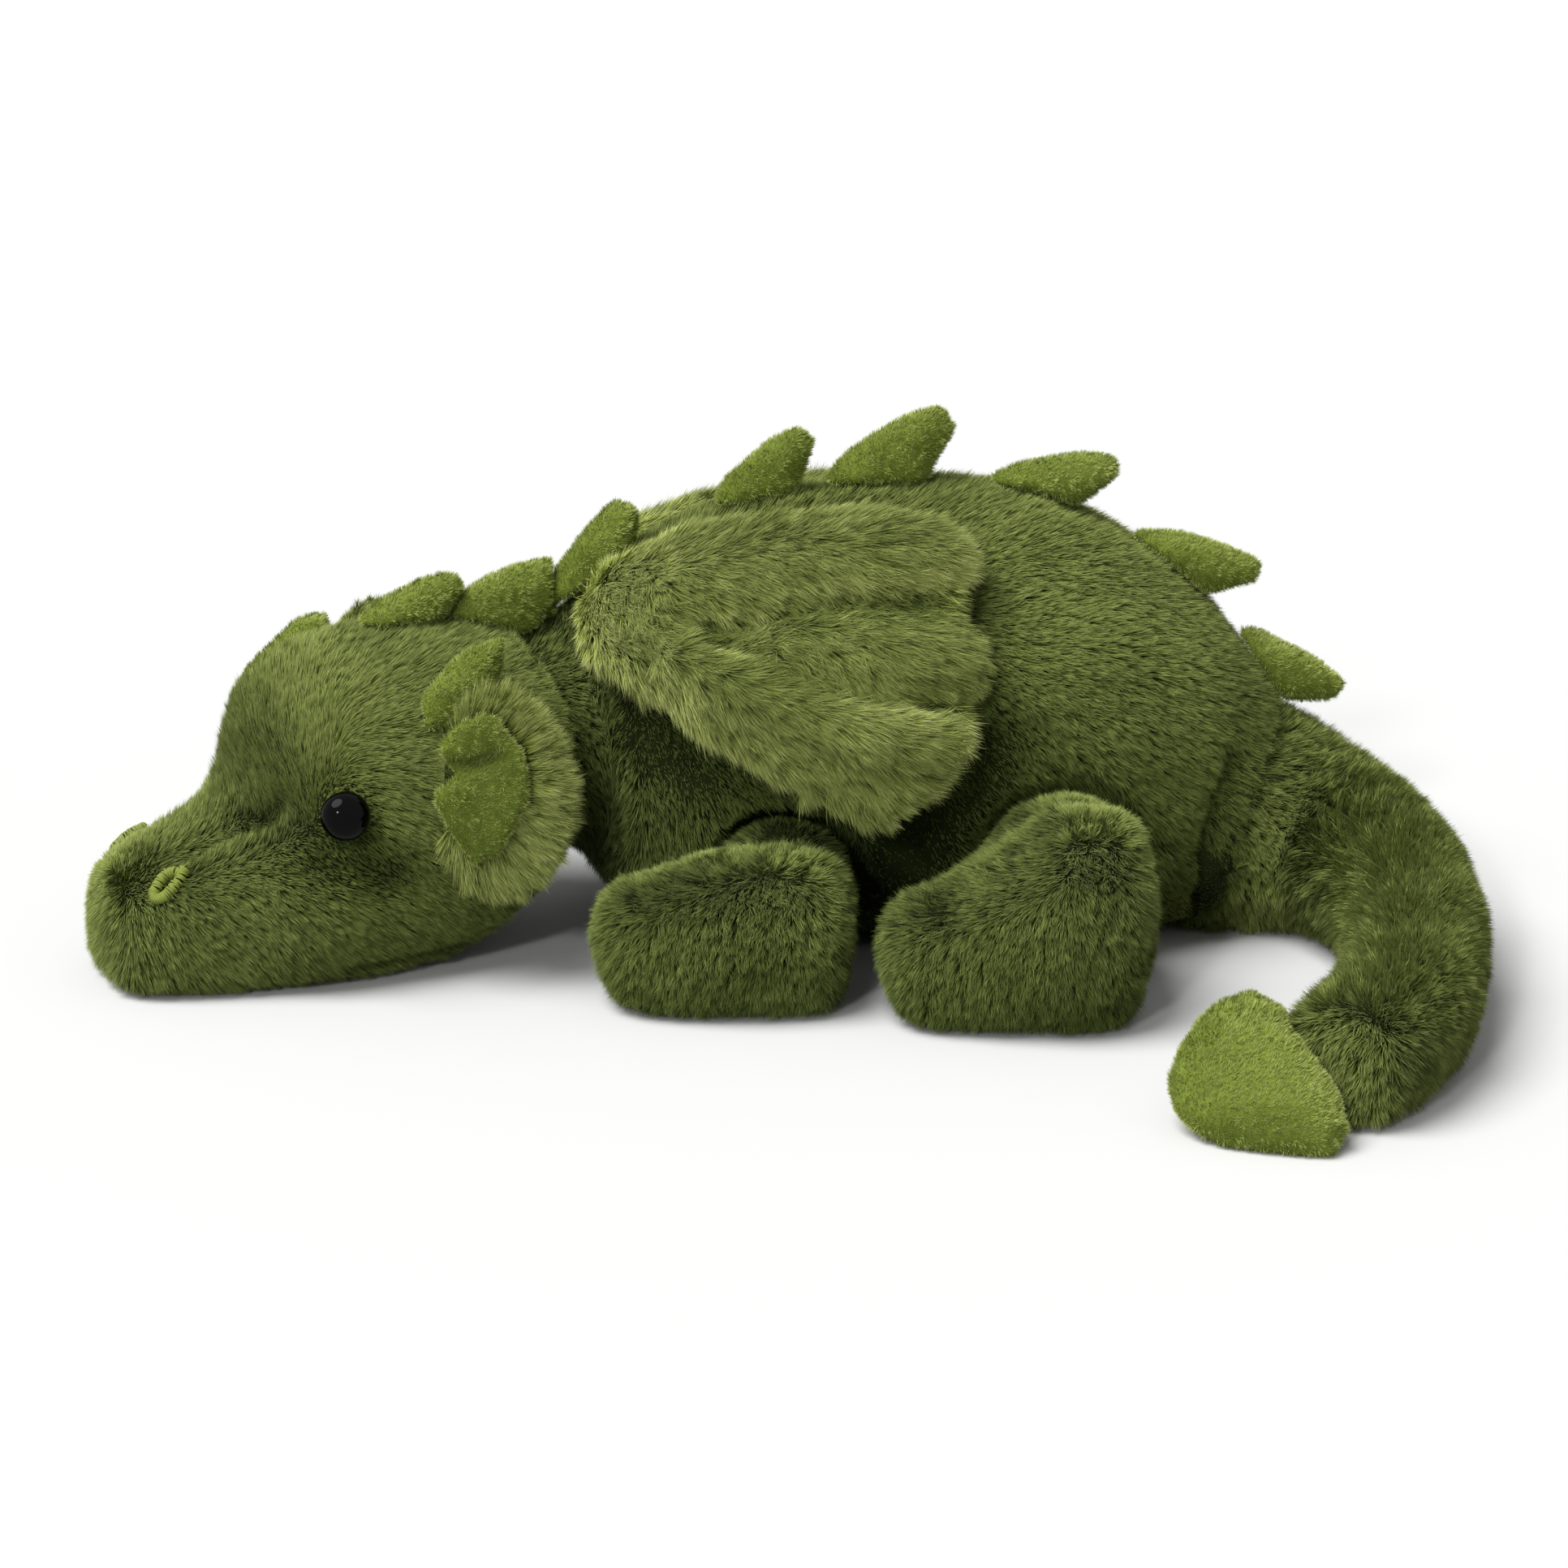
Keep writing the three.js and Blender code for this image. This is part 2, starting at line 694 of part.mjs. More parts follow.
function spadeFrame() {
  const end = tailShape().stations.at(-1);
  const turn = THREE.MathUtils.degToRad(spadeTurnDegrees);
  const tilt = THREE.MathUtils.degToRad(spadeTiltDegrees);
  const along = point(-Math.cos(turn) * Math.cos(tilt), -Math.sin(turn) * Math.cos(tilt), -Math.sin(tilt));
  const level = new THREE.Vector3().crossVectors(along, upward).normalize();
  const across = level.applyAxisAngle(along, THREE.MathUtils.degToRad(spadeRollDegrees));
  const facing = new THREE.Vector3().crossVectors(across, along);
  const base = end.centre.clone().addScaledVector(along, tailEndDepth);
  return { base, along, across, facing };
}

function spadeForm(shrink) {
  const frame = spadeFrame();
  const place = (x, y, height) => frame.base.clone()
    .addScaledVector(frame.along, spadeLength * x + shrink * 2 * (spadeMiddleShare - x))
    .addScaledVector(frame.across, (spadeWidth - shrink * 2) * y)
    .addScaledVector(frame.facing, height);
  return puffyPad(spadeOutlineShares, spadeThickness / 2 - shrink, place, padSides, padRings)
    .subtract(floorTo(shrink));
}

// Eyes: a glossy dome on a post, held inside by a lock washer
function headPlaceAt(along) {
  const share = along / headLength;
  const upper = headPlaceShares.findIndex((place) => place >= share);
  const span = headPlaceShares[upper] - headPlaceShares[upper - 1];
  return (upper - 1 + (share - headPlaceShares[upper - 1]) / span) / (headPlaceShares.length - 1);
}

function headSideAt(along, height) {
  const shape = headShape();
  const place = headPlaceAt(along);
  const waist = readSmooth(shape.stations.map((station) => station.centre.z), place);
  const rise = height - waist;
  const square = rise > 0 ? shape.topSquareness : shape.bottomSquareness;
  const reach = readSmooth(shape.stations.map((station) => (rise > 0 ? station.high : station.low)), place);
  const wide = readSmooth(shape.stations.map((station) => station.wide), place);
  return onHead(along, wide * (1 - Math.abs(rise / reach) ** square) ** (1 / square), height);
}

// A place on the head's left side and the direction that the skin faces there
function headSeat(along, height, step) {
  const run = headSideAt(along + step, height).sub(headSideAt(along - step, height));
  const climb = headSideAt(along, height + step).sub(headSideAt(along, height - step));
  const outward = new THREE.Vector3().crossVectors(climb, run).normalize();
  return { spot: headSideAt(along, height), outward };
}

// Moves a solid built along +Y from the skin's surface to its seat on the head
function onSeat(solid, seat) {
  const turn = new THREE.Quaternion().setFromUnitVectors(point(0, 1, 0), seat.outward);
  const matrix = new THREE.Matrix4().makeRotationFromQuaternion(turn);
  matrix.setPosition(seat.spot);
  return solid.transform(matrix.elements);
}

function lathe(outline, steps) {
  const profile = outline.map(([radius, height]) => new THREE.Vector2(radius, height));
  return solidOf(new THREE.LatheGeometry(profile, steps));
}

function upright(radius, low, high, steps) {
  return lathe([[0, low], [radius, low], [radius, high], [0, high]], steps);
}

const eyeDomeShares = [[1, 0], [0.96, 0.3], [0.82, 0.58], [0.6, 0.8], [0.32, 0.93]];

function eyeForm() {
  const base = seatGap - eyeSinkDepth;
  const postEnd = base - skinWall - eyePostLength;
  const dome = eyeDomeShares.map(([out, up]) => [eyeRadius * out, base + eyeRadius * up]);
  const outline = [[0, postEnd], [eyePostRadius, postEnd], [eyePostRadius, base], ...dome];
  return lathe([...outline, [0, base + eyeRadius]], eyeSteps);
}

function washerForm() {
  const high = -skinWall - washerSpacing;
  const low = high - washerThickness;
  const inner = eyePostRadius + seatGap;
  const outline = [[inner, low], [washerRadius, low], [washerRadius, high], [inner, high], [inner, low]];
  return lathe(outline, eyeSteps);
}

// Room in the skin for the eye's rim and post, and room behind the skin for the washer
function eyeRoom() {
  const rim = upright(eyeRadius + seatGap, -eyeSinkDepth, overrun, eyeSteps);
  return rim.add(upright(eyePostRadius + seatGap, -overrun / 2, overrun, eyeSteps));
}

function washerRoom() {
  return upright(washerRadius + seatGap, -skinWall - washerRoomDepth, -skinWall, eyeSteps);
}

// Nostrils: a teardrop ring of satin stitches
const nostrilOutlineShares = [[0.5, 0], [0.2, 0.36], [-0.2, 0.5], [-0.5, 0.2], [-0.5, -0.2], [-0.2, -0.5], [0.2, -0.36]];
const nostrilRings = 16;
const nostrilSides = 6;

function nostrilForm() {
  const seat = headSeat(headLength * nostrilAlongShare, nostrilHeight, nostrilWidth / 2);
  const lean = THREE.MathUtils.degToRad(nostrilLeanDegrees);
  const forward = point(-1, 0, 0).projectOnPlane(seat.outward).normalize();
  const climb = new THREE.Vector3().crossVectors(forward, seat.outward).normalize();
  const long = climb.clone().multiplyScalar(Math.cos(lean)).addScaledVector(forward, -Math.sin(lean));
  const short = new THREE.Vector3().crossVectors(seat.outward, long);
  const places = nostrilOutlineShares.map(([x, y]) => {
    const flat = seat.spot.clone().addScaledVector(long, nostrilLength * x).addScaledVector(short, nostrilWidth * y);
    return headSideAt(neckX - flat.x, flat.z).addScaledVector(seat.outward, stitchRadius + seatGap);
  });
  const route = new THREE.CatmullRomCurve3(places, true);
  const positions = [];
  const faces = [];
  for (let ring = 0; ring < nostrilRings; ring += 1) {
    const spot = route.getPointAt(ring / nostrilRings);
    const along = route.getTangentAt(ring / nostrilRings);
    const side = new THREE.Vector3().crossVectors(along, seat.outward).normalize();
    const out = new THREE.Vector3().crossVectors(side, along);
    const next = ((ring + 1) % nostrilRings) * nostrilSides;
    for (let step = 0; step < nostrilSides; step += 1) {
      const angle = (2 * Math.PI * step) / nostrilSides;
      const turn = (step + 1) % nostrilSides;
      const place = spot.clone().addScaledVector(side, stitchRadius * Math.cos(angle));
      place.addScaledVector(out, stitchRadius * Math.sin(angle));
      positions.push(place.x, place.y, place.z);
      faces.push(ring * nostrilSides + step, ring * nostrilSides + turn, next + turn);
      faces.push(ring * nostrilSides + step, next + turn, next + step);
    }
  }
  const geometry = new THREE.BufferGeometry();
  geometry.setAttribute('position', new THREE.Float32BufferAttribute(positions, 3));
  geometry.setIndex(faces);
  return solidOf(geometry);
}

// The largest of the solids that a cut leaves
function mainSolid(solid) {
  return solid.decompose().reduce((best, piece) => (piece.volume() > best.volume() ? piece : best));
}

// Body pieces, with room for the swing of every piece that the body carries
function neighbourRoom(grow) {
  const hips = [frontLeg, hindLeg].map((leg) => socketRoom(hipOf(leg), leg.hipRadius + grow, socketSteps));
  const near = joined(hips);
  return joined([near, mirrored(near), tailRoom(grow)]);
}

function bodyMass(grow, sides, rings) {
  const form = bodyForm(grow, sides, rings).subtract(headRoom(turnGap - grow));
  return form.add(ball(neck, neckRadius + grow, sides, sides / 2));
}

// A ball about the neck's middle with upright poles, so that it turns freely in a like room
function neckBall(radius, rise) {
  const geometry = new THREE.SphereGeometry(radius, neckSteps, neckSteps / 2);
  geometry.rotateX(Math.PI / 2);
  return solidOf(geometry.translate(neck.x, neck.y, neck.z + rise));
}

function panelOutline(grow) {
  const geometry = new THREE.CylinderGeometry(1, 1, bellyPanelRise, headSides);
  geometry.rotateX(Math.PI / 2);
  geometry.scale(bellyPanelLength / 2 + grow, bellyPanelWidth / 2 + grow, 1);
  return solidOf(geometry.translate(bodyFrontX + bodyLength * bellyPanelPlaceShare, 0, 0));
}

function bodyPieces() {
  const outside = bodyMass(0, bodySides, bodyRings).subtract(neighbourRoom(turnGap)).subtract(floorBlock);
  const hollow = bodyMass(-skinWall, innerSides, innerRings).subtract(neighbourRoom(turnGap + skinWall));
  const hole = bar(neck, point(-1, 0, 0), stuffingHoleRadius, neckRadius + overrun, holeSteps);
  const shell = outside.subtract(hollow).subtract(hole);
  const core = bodyMass(-coreInset, innerSides, innerRings).subtract(neighbourRoom(turnGap + coreInset));
  const neckRoom = neckBall(neckStuffingRadius + seatGap * 2, seatGap);
  return {
    skin: mainSolid(shell.subtract(panelOutline(seatGap))),
    panel: mainSolid(shell.intersect(panelOutline(0))),
    core: mainSolid(core.subtract(neckRoom).subtract(hole)),
  };
}

function acrossHead(solid) {
  return solid.translate([0, -neckY, 0]).mirror([0, 1, 0]).translate([0, neckY, 0]);
}

function bothSides(solid) {
  return solid.add(acrossHead(solid));
}

function headPieces() {
  const seat = eyeSeat();
  const rooms = bothSides(onSeat(eyeRoom(), seat));
  const washers = bothSides(onSeat(washerRoom(), seat));
  const outside = straightHead(0, headSides, headRings).subtract(floorBlock);
  const socket = socketRoom(neck, neckRadius + turnGap, neckSteps);
  const behind = socketRoom(neck, neckRadius + turnGap + skinWall, socketSteps);
  const hollow = straightHead(-skinWall, innerSides, innerRings).subtract(behind);
  const hole = bar(neck, point(-1, 0, 0), stuffingHoleRadius, neckRadius + overrun, holeSteps);
  const skin = outside.subtract(socket).subtract(hollow).subtract(hole).subtract(rooms).subtract(washers);
  const farther = socketRoom(neck, neckRadius + turnGap + coreInset, socketSteps);
  const core = straightHead(-coreInset, innerSides, innerRings).subtract(farther).subtract(washers);
  return { skin: mainSolid(skin), core: mainSolid(core) };
}

function eyeSeat() {
  return headSeat(headLength * eyeAlongShare, eyeHeight, eyeRadius / 2);
}

function legPieces(leg) {
  const hole = bar(hipOf(leg), point(0, 1, 0), hipHoleRadius, leg.hipRadius + overrun, coreSides);
  const hollow = legForm(leg, -skinWall, coreSides, coreRings);
  const skin = legForm(leg, 0, limbSides, limbRings).subtract(floorBlock).subtract(hollow).subtract(hole);
  return { skin: mainSolid(skin), core: mainSolid(legForm(leg, -coreInset, coreSides, coreRings)) };
}

function tailPieces() {
  const hole = bar(tailRoot, point(-1, 0, 0), hipHoleRadius, tailRootRadius + overrun, coreSides);
  const hollow = tailForm(-skinWall, coreSides, tailRings);
  const skin = tailForm(0, limbSides, tailRings).subtract(floorBlock).subtract(hollow).subtract(hole);
  return { skin: mainSolid(skin), core: mainSolid(tailForm(-coreInset - seatGap, coreSides, tailRings)) };
}

// The tail's end as the spade meets it anywhere in its flop
function tailEndRoom(grow, sides, rings) {
  const frame = spadeFrame();
  const tail = tailForm(grow, sides, rings);
  return joined([0, -spadeLift].map((angle) => turned(tail, frame.base, frame.across, angle)));
}

function spadePieces() {
  const frame = spadeFrame();
  const start = frame.base.clone().addScaledVector(frame.along, spadeLength / 2);
  const hole = bar(start, frame.along.clone().negate(), spadeThickness / 6, spadeLength, holeSteps);
  const skin = spadeForm(0).subtract(tailEndRoom(seatGap, limbSides, tailRings));
  const behind = tailEndRoom(facetRoom + skinWall, coreSides, innerRings);
  const core = spadeForm(coreInset).subtract(tailEndRoom(facetRoom + coreInset, coreSides, innerRings));
  return { skin: mainSolid(skin.subtract(spadeForm(skinWall).subtract(behind)).subtract(hole)), core: mainSolid(core) };
}

// The stuffing hole leaves through the wing's seam along the back
function wingPieces(slipShare, toRight) {
  const half = wingThickness / 2;
  const [alongShare, downShare] = wingHoleShares;
  const x = wingFrontX + wingLength * alongShare;
  const topShare = wingTopShare + slipShare;
  const start = flankPoint(x, (topShare + wingDropShare * downShare) / 2, half + wingEdgeLift, toRight);
  const direction = flankPoint(x, topShare / 2, half * wingRimShare + wingEdgeLift, toRight).sub(start);
  const hole = bar(start, direction, half / 3, direction.length() + half * 2, holeSteps);
  const skin = wingForm(slipShare, 0, toRight).subtract(bodyMass(seatGap, bodySides, bodyRings));
  const hollow = wingForm(slipShare, skinWall, toRight);
  const core = wingForm(slipShare, coreInset, toRight).subtract(bodyMass(skinWall, bodySides, bodyRings));
  return { skin: mainSolid(skin.subtract(hollow).subtract(hole)), core: mainSolid(core) };
}

// Colours and finishes
const furOlive = { color: 0x55683a, roughness: 1, metalness: 0 };
const wingOlive = { color: 0x6d7f4c, roughness: 1, metalness: 0 };
const limePlush = { color: 0x7f9a34, roughness: 0.95, metalness: 0 };
const bellyPlush = { color: 0x3c4a26, roughness: 1, metalness: 0 };
const fibreFill = { color: 0xe8e6df, roughness: 1, metalness: 0 };
const blackGloss = { color: 0x0c0c0c, roughness: 0.08, metalness: 0 };
const washerWhite = { color: 0xdedcd2, roughness: 0.5, metalness: 0 };
const limeThread = { color: 0x93ad4c, roughness: 0.6, metalness: 0 };

const group = new THREE.Group();

function addNode(name, solid, look) {
  const mesh = new THREE.Mesh(geometryOf(solid), new THREE.MeshStandardMaterial(look));
  mesh.name = name;
  group.add(mesh);
}

const bodyParts = bodyPieces();
addNode('body_skin', bodyParts.skin, furOlive);
addNode('body_stuffing', bodyParts.core, fibreFill);
addNode('belly_panel', bodyParts.panel, bellyPlush);
addNode('neck_stuffing', neckBall(neckStuffingRadius, 0), fibreFill);

const headParts = headPieces();
addNode('head_skin', faced(headParts.skin), furOlive);
addNode('head_stuffing', faced(headParts.core), fibreFill);

const plainHead = straightHead(seatGap, headSides, headRings);
const headDetails = [
  ['eye', onSeat(eyeForm(), eyeSeat()), blackGloss],
  ['eye_washer', onSeat(washerForm(), eyeSeat()), washerWhite],
  ['nostril_stitching', nostrilForm(), limeThread],
  ['ear', mainSolid(earForm(0).subtract(plainHead)), wingOlive],
  ['ear_lining', mainSolid(liningForm().subtract(earForm(seatGap)).subtract(plainHead)), limePlush],
];
for (const [name, solid, look] of headDetails) {
  addNode(`left_${name}`, faced(solid), look);
  addNode(`right_${name}`, faced(acrossHead(solid)), look);
}
addNode('left_horn', faced(mainSolid(hornForm(0).subtract(plainHead))), limePlush);
addNode('right_horn', faced(acrossHead(mainSolid(hornForm(rightHornSlipShare).subtract(plainHead)))), limePlush);

const plainBody = bodyMass(seatGap, bodySides, bodyRings);
const nodAxis = point(0, 1, 0).applyAxisAngle(upward, THREE.MathUtils.degToRad(headTurnDegrees));
const behindHead = joined([bodyMass(facetRoom, innerSides, innerRings), bodySpike(headSpikePlaceShares.length)]);
const sweptTurns = [headTurnOut, 0, -headTurnIn].map((angle) => turned(behindHead, neck, upward, angle));
const liftRoom = joined(sweptTurns.flatMap((solid) => [solid, turned(solid, neck, nodAxis, -headLift)]));
spikeSizes.forEach((size, index) => {
  const onHeadTop = index < headSpikePlaceShares.length;
  const solid = onHeadTop ? faced(headSpike(index).subtract(plainHead)).subtract(liftRoom) : bodySpike(index);
  addNode(`spine_spike_${index + 1}`, mainSolid(solid.subtract(plainBody)), limePlush);
});

for (const [side, slipShare] of [['left', 0], ['right', rightWingSlipShare]]) {
  const wing = wingPieces(slipShare, side === 'right');
  const place = side === 'left' ? (solid) => solid : mirrored;
  addNode(`${side}_wing_skin`, wing.skin, wingOlive);
  addNode(`${side}_wing_wadding`, wing.core, fibreFill);
  for (const [name, leg] of [['front', frontLeg], ['hind', hindLeg]]) {
    const pieces = legPieces(leg);
    addNode(`${side}_${name}_leg_skin`, place(pieces.skin), furOlive);
    addNode(`${side}_${name}_leg_stuffing`, place(pieces.core), fibreFill);
  }
}

const tailParts = tailPieces();
addNode('tail_skin', tailParts.skin, furOlive);
addNode('tail_stuffing', tailParts.core, fibreFill);
const spadeParts = spadePieces();
addNode('tail_tip_skin', spadeParts.skin, limePlush);
addNode('tail_tip_wadding', spadeParts.core, fibreFill);

export default group;
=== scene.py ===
# Plush dragon lying on its belly with its head turned to one side: the looks.
# Everything is in metres in the model's own frame: the head points along -X, the
# dragon's left side faces -Y and up is +Z. Lengths in the settings below are in
# millimetres and angles in degrees, unless a note says otherwise.
import math
import bpy
import numpy as np
from mathutils import Matrix, Vector
from mathutils.bvhtree import BVHTree


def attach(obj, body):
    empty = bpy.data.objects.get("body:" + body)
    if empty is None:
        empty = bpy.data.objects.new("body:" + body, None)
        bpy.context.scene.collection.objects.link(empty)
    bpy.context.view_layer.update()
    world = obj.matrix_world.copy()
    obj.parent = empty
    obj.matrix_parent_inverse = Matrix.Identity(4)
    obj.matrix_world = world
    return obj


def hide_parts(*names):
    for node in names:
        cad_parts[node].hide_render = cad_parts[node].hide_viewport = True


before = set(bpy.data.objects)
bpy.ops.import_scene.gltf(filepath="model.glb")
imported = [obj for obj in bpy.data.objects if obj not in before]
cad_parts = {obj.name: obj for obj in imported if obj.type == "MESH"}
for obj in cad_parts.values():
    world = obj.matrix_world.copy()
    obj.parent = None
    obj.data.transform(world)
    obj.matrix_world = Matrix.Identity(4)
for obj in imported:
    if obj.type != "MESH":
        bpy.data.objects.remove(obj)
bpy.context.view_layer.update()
mm = 0.001
print("stage: frame loaded")


def newObject(name, data):
    item = bpy.data.objects.new(name, data)
    bpy.context.scene.collection.objects.link(item)
    return item


# Camera, light and floor
view = {
    "elevation": 18,  # above the floor
    "distance": 1.5,  # metres, as the target is
    "target": (0.0, 0.0, 0.049),
    "lens": 90,
    "sensor": 36,
    "imageSize": 1932,  # pixels
}
viewRise = math.radians(view["elevation"])
viewForward = Vector((0, math.cos(viewRise), -math.sin(viewRise)))
viewUp = Vector((0, math.sin(viewRise), math.cos(viewRise)))
viewPlace = Vector(view["target"]) - viewForward * view["distance"]
cameraData = bpy.data.cameras.new("camera")
cameraData.lens = view["lens"]
cameraData.sensor_width = view["sensor"]
camera = newObject("camera", cameraData)
camera.location = viewPlace
camera.rotation_euler = (math.radians(90 - view["elevation"]), 0, 0)
bpy.context.scene.camera = camera
bpy.context.scene.view_settings.view_transform = "Standard"

light = {
    "above": {"slope": (0.5, 0.3, -1), "strength": 2.65, "softness": 40},
    "front": {"slope": (0.42, 1, -0.55), "strength": 0.58, "softness": 6},  # gives the glint in the eyes
    "worldStrength": 0.28,  # soft light from all round; the background is plain white
    "floorSize": 8,  # metres
    "floorColour": "#f7f7f6",
    "floorBounce": "#8c8c86",  # thrown up under the toy
}


def linear(text):
    # an sRGB hex value as linear light
    shares = [int(text[place:place + 2], 16) / 255 for place in (1, 3, 5)]
    return [c / 12.92 if c <= 0.04045 else ((c + 0.055) / 1.055) ** 2.4 for c in shares] + [1.0]


def addNode(tree, kind, settings=None, links=None):
    # one node with its settings and its links, each to an input by its name or number from
    # (other node, its output)
    node = tree.nodes.new(kind)
    for name, value in (settings or {}).items():
        if name in node.inputs:
            node.inputs[name].default_value = value
        else:
            setattr(node, name, value)
    for name, (other, output) in (links or {}).items():
        tree.links.new(other.outputs[output], node.inputs[name])
    return node


def newMaterial(name):
    material = bpy.data.materials.new(name)
    material.use_nodes = True
    tree = material.node_tree
    tree.nodes.clear()
    return material, tree


def addLamp(name, facts):
    data = bpy.data.lights.new(name, "SUN")
    data.angle = math.radians(facts["softness"])
    data.energy = facts["strength"]
    newObject(name, data).rotation_euler = Vector(facts["slope"]).to_track_quat("-Z", "Y").to_euler()


addLamp("lampAbove", light["above"])
addLamp("lampFront", light["front"])

world = bpy.data.worlds.new("world")
bpy.context.scene.world = world
world.use_nodes = True
worldTree = world.node_tree
worldTree.nodes.clear()
rays = addNode(worldTree, "ShaderNodeLightPath")
white = linear("#ffffff")
softLight = addNode(worldTree, "ShaderNodeBackground", {"Strength": light["worldStrength"], "Color": white})
whiteBack = addNode(worldTree, "ShaderNodeBackground", {"Strength": 1.0, "Color": white})
seen = addNode(worldTree, "ShaderNodeMath", {"operation": "MAXIMUM"},
               {0: (rays, "Is Camera Ray"), 1: (rays, "Is Transmission Ray")})
mirrored = addNode(worldTree, "ShaderNodeMath", {"operation": "MAXIMUM"},
                   {0: (seen, 0), 1: (rays, "Is Glossy Ray")})
backMix = addNode(worldTree, "ShaderNodeMixShader", {}, {0: (mirrored, 0), 1: (softLight, 0), 2: (whiteBack, 0)})
addNode(worldTree, "ShaderNodeOutputWorld", {}, {"Surface": (backMix, 0)})

bpy.ops.mesh.primitive_plane_add(size=light["floorSize"], location=(0, 0, 0))
floor = bpy.context.object
floor.name = "floor"
floorMaterial, tree = newMaterial("paleSeamlessPaper")  # matt paper: a pale ground with a soft shadow
surface = addNode(tree, "ShaderNodeBsdfDiffuse", {"Color": linear(light["floorColour"])})
underside = addNode(tree, "ShaderNodeBsdfDiffuse", {"Color": linear(light["floorBounce"])})
floorRays = addNode(tree, "ShaderNodeLightPath")
floorMix = addNode(tree, "ShaderNodeMixShader", {},
                   {0: (floorRays, "Is Diffuse Ray"), 1: (surface, 0), 2: (underside, 0)})
addNode(tree, "ShaderNodeOutputMaterial", {}, {"Surface": (floorMix, 0)})
floor.data.materials.append(floorMaterial)
print("stage: camera, light and floor")


# Small helpers
def pick(*chosen):
    bpy.ops.object.select_all(action="DESELECT")
    for piece in chosen:
        piece.select_set(True)
    bpy.context.view_layer.objects.active = chosen[0]


def openMesh(piece):
    # all of it selected, in edit mode
    pick(piece)
    bpy.ops.object.mode_set(mode="EDIT")
    bpy.ops.mesh.select_all(action="SELECT")


def closeMesh():
    bpy.ops.object.mode_set(mode="OBJECT")


def applyModifier(piece, kind, **settings):
    pick(piece)
    modifier = piece.modifiers.new(kind.lower(), kind)
    for name, value in settings.items():
        setattr(modifier, name, value)
    bpy.ops.object.modifier_apply(modifier=modifier.name)


def vectorsOf(piece, kind):
    vectors = np.empty(len(piece.data.vertices) * 3, np.float32)
    piece.data.vertices.foreach_get(kind, vectors)
    return vectors.reshape(-1, 3).astype(np.float64)


def placesOf(piece):
    return vectorsOf(piece, "co")


def normalsOf(piece):
    return vectorsOf(piece, "normal")


def setPlaces(piece, places):
    piece.data.vertices.foreach_set("co", places.astype(np.float32).ravel())
    piece.data.update()


def lengthOf(vectors):
    return np.linalg.norm(vectors, axis=1, keepdims=True)


def unit(vectors):
    return vectors / np.maximum(lengthOf(vectors), 1e-9)  # never divides by 0


def eased(values, low, high):
    share = np.clip((values - low) / (high - low), 0, 1)
    return share * share * (3 - 2 * share)


def easedOver(values, low, high):
    # the same, between two lengths in millimetres
    return eased(values, low * mm, high * mm)


def wavy(places, wavelength, seed, waves=7):
    # smooth uneven values from -1 to 1: a few plane waves in seeded directions
    chance = np.random.default_rng(seed)
    total = np.zeros(len(places))
    for wave in range(waves):
        heading = unit(chance.normal(size=(1, 3)))[0]
        stretch = chance.uniform(0.7, 1.4)
        phase = chance.uniform(0, 2 * math.pi)
        total += np.cos(places @ heading * (2 * math.pi / (wavelength * stretch)) + phase)
    return np.clip(total / math.sqrt(waves) / 1.6, -1, 1)


def cellShares(cells, seed):
    # four repeatable shares from 0 to 1 for every cell; the uneven factors mix them up
    keys = cells[:, 0] * 127.1 + cells[:, 1] * 311.7 + cells[:, 2] * 74.7 + seed * 19.19
    turns = [np.sin(keys + turn * 37.3) * 43758.5453 for turn in range(4)]
    return np.stack([np.modf(np.abs(turn))[0] for turn in turns], axis=1)


def clumpsOf(places, size, seed):
    # the nearest of the scattered clump middles for every place, with its shares
    home = np.floor(places / size)
    nearest = np.full(len(places), np.inf)
    middles = np.zeros_like(places)
    shares = np.zeros((len(places), 4))
    for step in np.ndindex(3, 3, 3):
        cells = home + np.array(step) - 1
        chance = cellShares(cells, seed)
        spots = (cells + 0.15 + 0.7 * chance[:, :3]) * size
        away = ((spots - places) ** 2).sum(axis=1)
        closer = away < nearest
        nearest[closer] = away[closer]
        middles[closer] = spots[closer]
        shares[closer] = chance[closer]
    return middles, shares


def seenSpot(tree, u, v):
    # the place on a surface seen at a place of the 1932 pixel picture
    focal = view["lens"] / view["sensor"] * view["imageSize"]
    across = (u - view["imageSize"] / 2) / focal
    down = (v - view["imageSize"] / 2) / focal
    ray = viewForward + Vector((1, 0, 0)) * across - viewUp * down
    return tree.ray_cast(viewPlace, ray.normalized())[0]


def treeOf(piece):
    return BVHTree.FromPolygons(
        [vertex.co[:] for vertex in piece.data.vertices],
        [polygon.vertices[:] for polygon in piece.data.polygons],
    )


def isInside(tree, place, depth):
    # whether a place lies in a closed form, deeper than a depth under its surface; the ray
    # upwards is tilted a little so that it meets no edge
    hit, normal = tree.ray_cast(place, Vector((0.05, 0.03, 1)).normalized())[:2]
    if hit is None or normal.z < 0:
        return False
    return tree.find_nearest(place)[3] > depth


def seamLine(tree, spots, steps=14):
    # a smooth run of places on a surface through places of the picture
    found = [seenSpot(tree, u, v) for u, v in spots]
    found = [np.array(place) for place in found if place is not None]
    if len(found) < 2:
        return np.zeros((0, 3))
    run = [first + (second - first) * step / steps
           for first, second in zip(found, found[1:]) for step in range(steps)]
    return np.array(run + found[-1:])


def nearLine(places, line):
    # how far each place is from a line of places, at most a metre
    away = np.full(len(places), 1.0)
    for spot in line:
        away = np.minimum(away, np.sqrt(((places - spot) ** 2).sum(axis=1)))
    return away


def creaseShare(places, line, width):
    # 1 on a line, fading to 0 away from it
    return np.exp(-((nearLine(places, line) / (width * mm)) ** 2))


